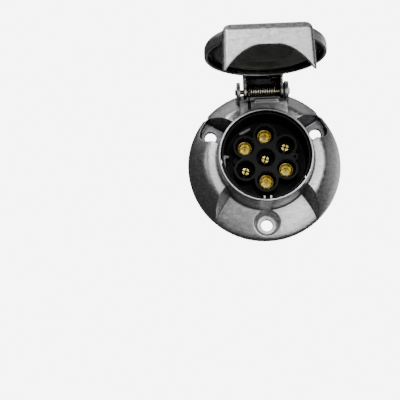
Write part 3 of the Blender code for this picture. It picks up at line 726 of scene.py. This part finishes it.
SPRING_WIRE_RADIUS = 0.4 * MM
SPRING_COIL_RADIUS = 1.93 * MM
SPRING_FIRST_X = -7.0 * MM
SPRING_LENGTH = 12.9 * MM
SPRING_TURNS = 11
STEPS_PER_TURN = 28
LID_LUGS = ((-10.0 * MM, -8.4 * MM), (9.0 * MM, 10.6 * MM))
LUG_RADIUS = 3.9 * MM
FREE_LEG_X = 7.4 * MM
FREE_LEG_Z = 36.6 * MM


def make_hinge_pin():
    """The pin with its ends spread to stay in."""
    head = in_mm((1.1, 0.5), (1.5, 0.42), (1.72, 0.25), (1.78, 0.08), (1.7, 0.0)) + [(PIN_RADIUS, 0.0)]
    left = HINGE_EARS[0][0] - 0.3 * MM
    right = HINGE_EARS[1][1] + 0.3 * MM
    profile = [(radius, left - out) for radius, out in head]
    profile += [(radius, right + out) for radius, out in head[::-1]]
    pin = along_x(turned("zinc_pin", profile, SMALL_ROUND))
    return crisp(moved(pin, PIN_POINT), 40.0)


def spring_path():
    """A leg hooked into the groove of the hinge block, the coil, and a leg that ends in the lid's boss."""
    path = [
        Vector((-8.9 * MM, LEG_END.y, LEG_END.z)),
        Vector((-7.9 * MM, LEG_END.y, LEG_END.z)),
        Vector((-7.55 * MM, LEG_END.y, LEG_END.z + 0.15 * MM)),
        Vector((-7.38 * MM, LEG_END.y, LEG_END.z + 0.6 * MM)),
        Vector((GROOVE_X, LEG_END.y, -8.2 * MM)),
        Vector((GROOVE_X, LEG_END.y, -6.6 * MM)),
        Vector((GROOVE_X, -3.8 * MM, -5.0 * MM)),
        Vector((-7.33 * MM, -3.45 * MM, -3.4 * MM)),
        Vector((-7.25 * MM, -2.75 * MM, -2.1 * MM)),
        Vector((-7.1 * MM, -2.2 * MM, -1.0 * MM)),
    ]
    steps = SPRING_TURNS * STEPS_PER_TURN
    for step in range(steps + 1):
        angle = math.radians(180.0) - math.tau * SPRING_TURNS * step / steps
        x = SPRING_FIRST_X + SPRING_LENGTH * step / steps
        path.append(Vector((x, SPRING_COIL_RADIUS * math.cos(angle), SPRING_COIL_RADIUS * math.sin(angle))))
    free_leg = in_mm((5.98, -1.9, 0.7), (6.35, -1.6, 1.9), (7.0, -0.75, 3.4), (7.3, 0.1, 4.5))
    free_leg += [(FREE_LEG_X, y, z) for y, z in in_mm((0.75, 5.5), (1.03, 6.5), (1.07, 8.4))]
    return path + [Vector(point) for point in free_leg]


def make_spring():
    return moved(tube("coiled_spring", spring_path(), SPRING_WIRE_RADIUS, sides=12), PIN_POINT)


# Lid, modelled closed

CUP_INNER = 27.8 * MM
CUP_FLOOR = 29.4 * MM
HOOD_FRONT = -27.1 * MM
HOOD_WALL = 1.8 * MM
HOOD_DEPTH = 22.6 * MM
HOOD_CORNER = 2.4 * MM
ARCH_DEPTH = 10.8 * MM
ARCH_DROP = 11.8 * MM
ARCH_FLAT = 3.5 * MM
ARCH_HALF_WIDTH = 20.0 * MM


def rounded_rectangle(half_width, low_z, high_z, corner):
    """An outline with its two lower corners rounded, given as (x, z) points."""
    points = arc_points((-half_width + corner, low_z + corner), corner, 180.0, 270.0, 10)
    points += arc_points((half_width - corner, low_z + corner), corner, 270.0, 360.0, 10)
    points += [(half_width, high_z), (-half_width, high_z)]
    return points


def lid_cup():
    profile = [
        (26.2 * MM, LID_TOP),
        (27.3 * MM, 32.1 * MM),
        (28.1 * MM, 31.65 * MM),
        (28.75 * MM, 31.0 * MM),
        (29.1 * MM, 30.2 * MM),
        (LID_RADIUS, 29.3 * MM),
        (LID_RADIUS, LID_MOUTH + 0.3 * MM),
        (LID_RADIUS - 0.3 * MM, LID_MOUTH),
        (CUP_INNER, LID_MOUTH),
        (CUP_INNER, CUP_FLOOR),
    ]
    return turned("lid_cup", profile, ROUND)


def lid_arm():
    """The neck and both lugs as one block, before the channel for the spring is cut."""
    outline = arc_points((PIN_HEIGHT, PIN_Z), LUG_RADIUS, 285.0, 120.0, 30)
    outline.append((19.0 * MM, 39.9 * MM))
    neck = in_mm((25.0, 39.9), (27.8, 39.3), (30.1, 37.8), (31.5, 35.2))
    outline += curved(neck + [(LID_TOP - 0.1 * MM, 31.0 * MM)], 4)
    outline += [
        (LID_TOP - 0.1 * MM, 23.0 * MM),
        (LID_MOUTH + 0.1 * MM, 23.0 * MM),
        (LID_MOUTH + 0.1 * MM, 31.2 * MM),
    ]
    return prism_along_x("lid_arm", outline, LID_LUGS[0][0], LID_LUGS[1][1])


def lid_channel_cutter():
    """The room for the spring between the lugs, which leaves a wall behind it."""
    outline = in_mm(
        (14.0, 30.0), (29.4, 30.0), (29.4, 33.2), (28.6, 36.0), (27.0, 37.9), (24.5, 38.5), (14.0, 38.5)
    )
    return prism_along_x("lid_channel_cutter", outline, LID_LUGS[0][1], LID_LUGS[1][0])


def hood_shell():
    """The box at the free end of the lid, open towards the hinge and the flange."""
    # height, half width, how far the front is set back
    levels = [(LID_TOP, 18.3 * MM, 2.4 * MM)]
    levels += in_mm(
        (32.15, 18.8, 1.85), (31.75, 19.3, 1.35), (31.1, 19.8, 0.95),
        (29.9, 20.25, 0.45), (29.0, 20.45, 0.12), (28.4, 20.55, 0.0),
    )
    levels.append((LID_TOP - HOOD_DEPTH, 21.1 * MM, 0.0))
    loops = []
    for height, half_width, set_back in levels:
        outline = rounded_rectangle(half_width, HOOD_FRONT + set_back, -18.0 * MM, HOOD_CORNER)
        loops.append([Vector((x, -height, z)) for x, z in outline])
    return lofted("hood", loops)


def arch_cutter():
    """The arch in the hood's front panel, which lets the lid rest round a plug's body."""
    crown = LID_TOP - ARCH_DEPTH
    outline = [(-ARCH_HALF_WIDTH, 5.0 * MM)]
    for x in spread(-ARCH_HALF_WIDTH, ARCH_HALF_WIDTH, 81):
        share = max(abs(x) - ARCH_FLAT, 0.0) / (ARCH_HALF_WIDTH - ARCH_FLAT)
        outline.append((x, crown - ARCH_DROP * share**2))
    outline.append((ARCH_HALF_WIDTH, 5.0 * MM))
    loops = [[Vector((x, -height, z)) for x, height in outline] for z in (-30.0 * MM, -24.0 * MM)]
    return lofted("arch_cutter", loops)


def make_hood():
    inside = rounded_rectangle(18.9 * MM, HOOD_FRONT + HOOD_WALL, -10.0 * MM, 1.0 * MM)
    slope = in_mm((5.0, -24.9), (11.0, -24.9), (23.0, -17.0), (5.0, -17.0))
    steps = [
        (CUT, prism_forward("hood_inside", inside, 5.0 * MM, CUP_FLOOR + 0.4 * MM)),
        (CUT, arch_cutter()),
        (CUT, prism_along_x("hood_side", slope, -25.0 * MM, 25.0 * MM)),
    ]
    return shaped("hood_part", hood_shell(), steps)


def swung_open(piece):
    """Turns a piece that was modelled closed about the hinge pin to the rest pose."""
    turn = Matrix.Rotation(-math.radians(LID_OPEN_DEG), 4, "X")
    piece.data.transform(Matrix.Translation(PIN_POINT) @ turn @ Matrix.Translation(-PIN_POINT))
    return piece


def make_lid():
    bore = along_x(rod("lug_hole", PIN_RADIUS + 0.25 * MM, -12.0 * MM, 12.0 * MM))
    wide = (-30.0 * MM, 30.0 * MM)
    front = block("lid_front_cutter", wide, (20.0 * MM, 35.0 * MM), (-33.0 * MM, -24.0 * MM))
    boss = block("spring_boss", (4.8 * MM, 9.2 * MM), (26.2 * MM, 29.6 * MM), (34.0 * MM, 38.8 * MM))
    leg_hole = rod("free_leg_cutter", 0.8 * MM, 25.0 * MM, 28.4 * MM)
    steps = [
        (JOIN, lid_arm()),
        (CUT, rod("cup_inside", CUP_INNER, 20.0 * MM, CUP_FLOOR, ROUND)),
        (CUT, lid_channel_cutter()),
        (JOIN, boss),
        (CUT, moved(leg_hole, Vector((FREE_LEG_X, 0.0, FREE_LEG_Z)))),
        (CUT, front),
        (JOIN, make_hood()),
        (CUT, moved(bore, PIN_POINT)),
    ]
    lid = shaped("lid_casting", lid_cup(), steps)
    return swung_open(softened(lid, voxel=0.3 * MM, passes=4, triangles=150000))


def make_seal():
    """The rubber disc in the cup, with a raised ring that meets the barrel's rim and a smaller inner ring."""
    profile = in_mm(
        (24.9, 29.1), (24.9, 27.9), (24.75, 27.6), (24.4, 27.45), (22.4, 27.45), (22.0, 27.6), (21.6, 28.1),
        (14.4, 28.15), (14.0, 27.85), (13.5, 27.75), (13.0, 27.85), (12.6, 28.15), (4.0, 28.2),
    )
    return swung_open(crisp(turned("seal_disc", profile, ROUND), 50.0))


# Materials

def set_inputs(node, values):
    """Sets a node's inputs by their names."""
    for socket, value in values.items():
        node.inputs[socket].default_value = value


class Nodes:
    """A short way to build a material's nodes."""

    def __init__(self, name, colour, metallic, roughness):
        self.material = bpy.data.materials.new(name)
        self.material.use_nodes = True
        self.tree = self.material.node_tree
        self.shader = self.tree.nodes["Principled BSDF"]
        set_inputs(self.shader, {"Base Color": (*colour, 1.0), "Metallic": metallic, "Roughness": roughness})
        self.place = self.new("ShaderNodeTexCoord").outputs["Object"]

    def new(self, kind):
        return self.tree.nodes.new(kind)

    def link(self, source, target):
        self.tree.links.new(source, target)

    def noise(self, size, detail=3.0, roughness=0.55, stretch=None):
        """Noise whose features are about the given size."""
        made = self.new("ShaderNodeTexNoise")
        set_inputs(made, {"Scale": 1.0 / size, "Detail": detail, "Roughness": roughness})
        source = self.place
        if stretch is not None:
            mapping = self.new("ShaderNodeMapping")
            set_inputs(mapping, {"Scale": stretch})
            self.link(source, mapping.inputs["Vector"])
            source = mapping.outputs["Vector"]
        self.link(source, made.inputs["Vector"])
        return made.outputs["Fac"]

    def cells(self, size):
        """Soft round cells of about the given size."""
        made = self.new("ShaderNodeTexVoronoi")
        made.feature = "SMOOTH_F1"
        set_inputs(made, {"Scale": 1.0 / size})
        self.link(self.place, made.inputs["Vector"])
        return made.outputs["Distance"]

    def pointiness(self, low, high):
        """0 in corners, 1 on edges."""
        geometry = self.new("ShaderNodeNewGeometry")
        return self.ranged(geometry.outputs["Pointiness"], low, high)

    def ranged(self, source, low, high, to_low=0.0, to_high=1.0):
        """Carries a range of a socket's values over to another range."""
        made = self.new("ShaderNodeMapRange")
        set_inputs(made, {"From Min": low, "From Max": high, "To Min": to_low, "To Max": to_high})
        self.link(source, made.inputs["Value"])
        return made.outputs["Result"]

    def blended(self, share, first, second):
        """Mixes two colours, each a colour or a socket, by a share socket."""
        made = self.new("ShaderNodeMix")
        made.data_type = "RGBA"
        self.link(share, made.inputs["Factor"])
        for socket, value in ((made.inputs[6], first), (made.inputs[7], second)):
            if isinstance(value, tuple):
                socket.default_value = (*value, 1.0)
            else:
                self.link(value, socket)
        return made.outputs[2]

    def sum_of(self, first, second, weight):
        """The first plus the weighted second."""
        made = self.new("ShaderNodeMath")
        made.operation = "MULTIPLY_ADD"
        self.link(second, made.inputs[0])
        made.inputs[1].default_value = weight
        self.link(first, made.inputs[2])
        return made.outputs[0]

    def shelter(self, distance):
        """1 in the open, towards 0 deep in a recess, judged over a distance."""
        made = self.new("ShaderNodeAmbientOcclusion")
        made.samples = 8
        set_inputs(made, {"Distance": distance})
        return made.outputs["AO"]

    def near(self, point, radius, core=0.9):
        """1 round a point of the object, falling to 0 between a share of the radius and the radius."""
        made = self.new("ShaderNodeVectorMath")
        made.operation = "DISTANCE"
        self.link(self.place, made.inputs[0])
        made.inputs[1].default_value = point
        return self.ranged(made.outputs["Value"], core * radius, radius, 1.0, 0.0)

    def colour(self, source):
        self.link(source, self.shader.inputs["Base Color"])

    def roughness(self, source):
        self.link(source, self.shader.inputs["Roughness"])

    def bumps(self, *layers):
        """Bump layers as (height socket, depth in metres), the coarsest first."""
        normal = None
        for source, depth in layers:
            made = self.new("ShaderNodeBump")
            set_inputs(made, {"Distance": depth})
            self.link(source, made.inputs["Height"])
            if normal is not None:
                self.link(normal, made.inputs["Normal"])
            normal = made.outputs["Normal"]
        self.link(normal, self.shader.inputs["Normal"])


def cast_aluminium(name, tone, recess_shade, recess_shade_start, recess_shade_end, painted_spots=()):
    """Bright die casting, tumbled: soft dents; edges lightened, partly rubbed wear and partly painted
    highlight; painted shade in corners and where it is sheltered; round spots of painted shade and painted
    light.
    """
    look = Nodes(name, (tone, tone, tone), 1.0, 0.4)
    broad = look.noise(9.0 * MM, 2.0)
    patches = look.noise(1.6 * MM)
    grain = look.noise(0.28 * MM, 2.0)
    streaks = look.noise(3.0 * MM, 4.0, 0.7, stretch=(1.0, 0.35, 3.0))
    dull = (tone * 0.74, tone * 0.74, tone * 0.74)
    brush = (tone * 0.54, tone * 0.54, tone * 0.55)
    age = (tone * 0.7, tone * 0.7, tone * 0.71)
    corner_shade = (tone * 0.42, tone * 0.42, tone * 0.43)
    body = look.blended(look.ranged(patches, 0.35, 0.65), dull, (tone, tone, tone * 1.01))
    brushed = look.blended(look.ranged(streaks, 0.4, 0.68, 0.0, 0.9), body, brush)
    aged = look.blended(look.ranged(broad, 0.35, 0.65, 0.0, 0.45), brushed, age)
    # Painted shade in corners and creases, where pointiness is low.
    corner_shaded = look.blended(look.pointiness(0.44, 0.5), corner_shade, aged)
    # Painted shade: the colour falls towards the recess shade colour where the surface is sheltered.
    open_air = look.ranged(look.shelter(16.0 * MM), recess_shade_start, recess_shade_end)
    recess_shaded = look.blended(open_air, (recess_shade, recess_shade, recess_shade * 1.1), corner_shaded)
    # Edges are lightened to pale grey: partly rubbed wear, partly a painted highlight.
    surface = look.blended(look.pointiness(0.53, 0.64), recess_shaded, (0.88, 0.88, 0.88))
    # Round spots of painted shade and painted light, each with its own shade.
    for point, radius, shade in painted_spots:
        surface = look.blended(look.near(point, radius, 0.5), surface, (shade, shade, shade * 1.02))
    look.colour(surface)
    look.roughness(look.ranged(look.sum_of(patches, streaks, 0.6), 0.4, 1.1, 0.2, 0.44))
    look.bumps((look.cells(2.2 * MM), 0.06 * MM), (patches, 0.08 * MM), (grain, 0.02 * MM))
    return look.material


def black_plastic(name, tone, rough, painted_highlights=()):
    """Dull moulded plastic with light dust, painted highlights on its edges, and painted highlights round the
    given (point, radius) pairs.
    """
    look = Nodes(name, (tone, tone, tone * 1.08), 0.0, rough)
    set_inputs(look.shader, {"Specular IOR Level": 0.15})
    marks = look.noise(3.0 * MM, 4.0)
    grain = look.noise(0.2 * MM, 2.0)
    clean = (tone, tone, tone * 1.08)
    dust = (tone * 2.2, tone * 2.2, tone * 2.2)
    dusty = look.blended(look.ranged(marks, 0.45, 0.75, 0.0, 0.5), clean, dust)
    # Painted highlight: edges are lightened where pointiness is high.
    surface = look.blended(look.pointiness(0.52, 0.62), dusty, (tone * 3.0, tone * 3.0, tone * 3.2))
    # Painted highlights round the given points.
    for point, radius in painted_highlights:
        surface = look.blended(look.near(point, radius), surface, (0.3, 0.3, 0.31))
    look.colour(surface)
    look.roughness(look.ranged(marks, 0.3, 0.7, rough - 0.07, rough + 0.1))
    look.bumps((marks, 0.02 * MM), (grain, 0.01 * MM))
    return look.material


def turned_brass(name, shade_start, shade_end):
    """Bright turned brass with fine tool rings round the part's own axis, and painted shade where it is
    sheltered.
    """
    look = Nodes(name, (0.92, 0.8, 0.27), 1.0, 0.2)
    rings = look.noise(0.12 * MM, 2.0, stretch=(0.05, 1.0, 0.05))
    tarnish = look.noise(1.5 * MM)
    tarnished = look.blended(look.ranged(tarnish, 0.4, 0.7, 0.0, 0.6), (0.92, 0.8, 0.27), (0.58, 0.42, 0.09))
    shade = look.ranged(look.shelter(7.0 * MM), shade_start, shade_end)
    look.colour(look.blended(shade, (0.03, 0.018, 0.006), tarnished))
    look.roughness(look.ranged(tarnish, 0.3, 0.7, 0.2, 0.36))
    look.bumps((rings, 0.006 * MM))
    return look.material


def plated_steel(name, colour, rough, painted_spots=()):
    """Plated steel with a cloudy film, and painted shade where it is sheltered and round the given spots."""
    look = Nodes(name, colour, 1.0, rough)
    cloud = look.noise(1.2 * MM)
    dark = tuple(0.6 * channel for channel in colour)
    plated = look.blended(look.ranged(cloud, 0.4, 0.7, 0.0, 0.7), colour, dark)
    shade = look.ranged(look.shelter(4.0 * MM), 0.1, 0.55)
    surface = look.blended(shade, (0.02, 0.02, 0.015), plated)
    # Painted shade round the given spots.
    for point, radius in painted_spots:
        surface = look.blended(look.near(point, radius), surface, (0.03, 0.03, 0.025))
    look.colour(surface)
    look.roughness(look.ranged(cloud, 0.3, 0.7, rough - 0.06, rough + 0.12))
    look.bumps((look.noise(0.25 * MM, 2.0), 0.012 * MM))
    return look.material


def seal_rubber():
    """Dark rubber with a cloudy bloom."""
    look = Nodes("seal_rubber_skin", (0.08, 0.083, 0.074), 0.0, 0.5)
    cloud = look.noise(5.0 * MM, 4.0)
    bloom = look.ranged(cloud, 0.35, 0.7)
    look.colour(look.blended(bloom, (0.07, 0.073, 0.064), (0.13, 0.134, 0.12)))
    look.roughness(look.ranged(cloud, 0.3, 0.7, 0.35, 0.55))
    look.bumps((cloud, 0.1 * MM), (look.noise(0.3 * MM, 2.0), 0.015 * MM))
    return look.material


# Painted highlights on the insert's ribs: (point, radius)
RIB_PAINTED_HIGHLIGHTS = (
    (Vector((-20.9 * MM, -18.0 * MM, -1.9 * MM)), 4.4 * MM),
    (at(18.2 * MM, 123.6, 16.5 * MM), 3.4 * MM),
)

# Painted shade round the hinge and a painted lighter patch round the lower screw hole: (point, radius, shade)
HOUSING_SHADE_AND_LIGHT_SPOTS = (
    (Vector((0.0, -26.0 * MM, 35.0 * MM)), 16.0 * MM, 0.22),
    (at(HOLE_CIRCLE, PAD_ANGLE, 4.0 * MM), 7.5 * MM, 0.62),
)

# Painted shade on the spring's fixed leg, in its groove
LEG_PAINTED_SHADE = ((Vector((GROOVE_X, -24.0 * MM, 27.5 * MM)), 5.0 * MM),)


# Light, floor and camera

FLOOR_Z = -0.2
WHITE = (1.0, 1.0, 1.0, 1.0)
BACKDROP_LEVEL = 7.0
BASE_LEVEL = 0.045

# Soft studio panels: direction from the object, cosines where a panel starts and is full, brightness
PANELS = (
    ((0.47, -0.88, 0.08), 0.9, 0.992, 3.8),
    ((-0.3, -0.95, 0.02), 0.95, 0.996, 1.9),
    ((-0.14, -0.875, 0.46), 0.964, 0.986, 6.0),
    ((0.36, -0.84, -0.45), 0.92, 0.985, 2.5),
    ((-0.2, -0.88, -0.42), 0.9, 0.985, 0.28),
    ((-0.83, -0.5, 0.24), 0.96, 0.995, 1.5),
    ((0.9, 0.35, 0.1), 0.85, 0.97, 0.3),
    ((0.6, 0.8, 0.08), 0.88, 0.98, 1.0),
    ((0.2, 0.25, 0.94), 0.75, 0.96, 0.45),
    ((-0.45, 0.15, 0.88), 0.8, 0.97, 0.5),
)


def make_floor():
    """A floor that the camera sees as plain white and that lets every other ray through."""
    data = bmesh.new()
    bmesh.ops.create_grid(data, x_segments=1, y_segments=1, size=6.0)
    floor = make_object("floor", data)
    floor.location.z = FLOOR_Z
    look = Nodes("white_floor", (1.0, 1.0, 1.0), 0.0, 0.9)
    clear = look.new("ShaderNodeBsdfTransparent")
    glow = look.new("ShaderNodeEmission")
    set_inputs(glow, {"Strength": BACKDROP_LEVEL})
    seen = look.new("ShaderNodeLightPath").outputs["Is Camera Ray"]
    mix = look.new("ShaderNodeMixShader")
    look.link(seen, mix.inputs["Fac"])
    look.link(clear.outputs[0], mix.inputs[1])
    look.link(glow.outputs[0], mix.inputs[2])
    look.link(mix.outputs[0], look.tree.nodes["Material Output"].inputs["Surface"])
    floor.data.materials.append(look.material)


def area_light(name, place, target, size, power):
    light = bpy.data.lights.new(name, "AREA")
    light.shape = "RECTANGLE"
    light.size, light.size_y = size
    light.energy = power
    lamp = bpy.data.objects.new(name, light)
    bpy.context.scene.collection.objects.link(lamp)
    lamp.location = place
    lamp.rotation_euler = (Vector(target) - Vector(place)).to_track_quat("-Z", "Y").to_euler()


def panel_strength(tree):
    """The brightness of the world in every direction: each panel's, and a base level under them."""
    nodes = tree.nodes
    direction = nodes.new("ShaderNodeTexCoord").outputs["Generated"]
    total = None
    for towards, start, full, level in PANELS:
        facing = nodes.new("ShaderNodeVectorMath")
        facing.operation = "DOT_PRODUCT"
        tree.links.new(direction, facing.inputs[0])
        facing.inputs[1].default_value = Vector(towards).normalized()
        panel = nodes.new("ShaderNodeMapRange")
        panel.interpolation_type = "SMOOTHSTEP"
        set_inputs(panel, {"From Min": start, "From Max": full, "To Max": level})
        tree.links.new(facing.outputs["Value"], panel.inputs["Value"])
        added = nodes.new("ShaderNodeMath")
        added.operation = "ADD"
        added.inputs[0].default_value = BASE_LEVEL
        if total is not None:
            tree.links.new(total, added.inputs[0])
        tree.links.new(panel.outputs["Result"], added.inputs[1])
        total = added.outputs[0]
    return total


def make_light():
    """Soft panels painted on the world, a white backdrop that only the camera sees and one key lamp."""
    world = bpy.data.worlds.new("studio")
    bpy.context.scene.world = world
    world.use_nodes = True
    tree = world.node_tree
    nodes = tree.nodes
    studio = nodes["Background"]
    tree.links.new(panel_strength(tree), studio.inputs["Strength"])
    set_inputs(studio, {"Color": WHITE})
    backdrop = nodes.new("ShaderNodeBackground")
    set_inputs(backdrop, {"Color": WHITE, "Strength": BACKDROP_LEVEL})
    mix = nodes.new("ShaderNodeMixShader")
    tree.links.new(nodes.new("ShaderNodeLightPath").outputs["Is Camera Ray"], mix.inputs["Fac"])
    tree.links.new(studio.outputs[0], mix.inputs[1])
    tree.links.new(backdrop.outputs[0], mix.inputs[2])
    tree.links.new(mix.outputs[0], nodes["World Output"].inputs["Surface"])
    area_light("key", (-0.35, -0.75, 0.75), (0.0, 0.0, 0.0), (0.3, 0.3), 2.5)


def make_camera():
    """A camera just below the socket's axis that looks slightly up into the mouth."""
    azimuth = math.radians(-1.504)
    elevation = math.radians(11.347)
    roll = math.radians(-1.672)
    distance = 0.42
    target = Vector((-34.35 * MM, -13.0 * MM, -19.58 * MM))
    forward = Vector((
        math.sin(azimuth) * math.cos(elevation),
        math.cos(azimuth) * math.cos(elevation),
        math.sin(elevation),
    ))
    right = forward.cross(Vector((0.0, 0.0, 1.0))).normalized()
    up = right.cross(forward)
    tilted_right = right * math.cos(roll) + up * math.sin(roll)
    tilted_up = up * math.cos(roll) - right * math.sin(roll)
    data = bpy.data.cameras.new("camera")
    data.sensor_width = 36.0
    data.lens = 73.33
    data.clip_start = 0.01
    data.clip_end = 50.0
    camera = bpy.data.objects.new("camera", data)
    bpy.context.scene.collection.objects.link(camera)
    turn = Matrix((tilted_right, tilted_up, -forward)).transposed().to_4x4()
    camera.matrix_world = Matrix.Translation(target - forward * distance) @ turn
    bpy.context.scene.camera = camera


# Assembly

def finish_piece(piece, material, body, node):
    """Gives a piece its material, parents it to the body that it rides on, if any, and hides the imported
    part that it stands in for.
    """
    piece.data.materials.clear()
    piece.data.materials.append(material)
    if body is not None:
        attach(piece, body)
    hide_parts(node)


def main():
    make_camera()
    make_light()
    make_floor()
    plastic = black_plastic("insert_plastic", tone=0.003, rough=0.5, painted_highlights=RIB_PAINTED_HIGHLIGHTS)
    sleeve_brass = turned_brass("sleeve_brass", shade_start=0.0, shade_end=0.12)
    pin_brass = turned_brass("pin_brass", shade_start=0.15, shade_end=0.6)
    steel = plated_steel("zinc_plated_steel", (0.62, 0.62, 0.62), rough=0.3)

    housing_look = cast_aluminium(
        "housing_metal", tone=0.72, recess_shade=0.08, recess_shade_start=0.28, recess_shade_end=0.78, painted_spots=HOUSING_SHADE_AND_LIGHT_SPOTS
    )
    finish_piece(make_housing(), housing_look, "socket", "housing")
    finish_piece(make_carrier(), plastic, "socket", "contact_carrier")
    retainer_look = black_plastic("retainer_plastic_skin", tone=0.02, rough=0.5)
    finish_piece(make_retainer(), retainer_look, "socket", "contact_retainer")
    for name, angle_deg in CONTACTS.items():
        brass = pin_brass if name.startswith("pin") else sleeve_brass
        finish_piece(make_contact(name, angle_deg), brass, "socket", name)
    for node, piece in make_screws().items():
        finish_piece(piece, steel, "socket", node)
    # The pin's colour is yellow zinc's own olive gold, darkened further as painted shade for the channel that
    # it lies in.
    pin_look = plated_steel("yellow_zinc_skin", (0.38, 0.33, 0.14), rough=0.28)
    finish_piece(make_hinge_pin(), pin_look, "socket", "hinge_pin")
    spring = make_spring()
    spring_look = plated_steel("spring_wire", (0.86, 0.82, 0.66), rough=0.26, painted_spots=LEG_PAINTED_SHADE)
    finish_piece(spring, spring_look, None, "lid_spring")
    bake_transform(spring)
    lid_look = cast_aluminium("lid_metal", tone=0.7, recess_shade=0.008, recess_shade_start=0.4, recess_shade_end=0.9)
    finish_piece(make_lid(), lid_look, "lid_group", "lid")
    finish_piece(make_seal(), seal_rubber(), "lid_group", "lid_seal")


main()
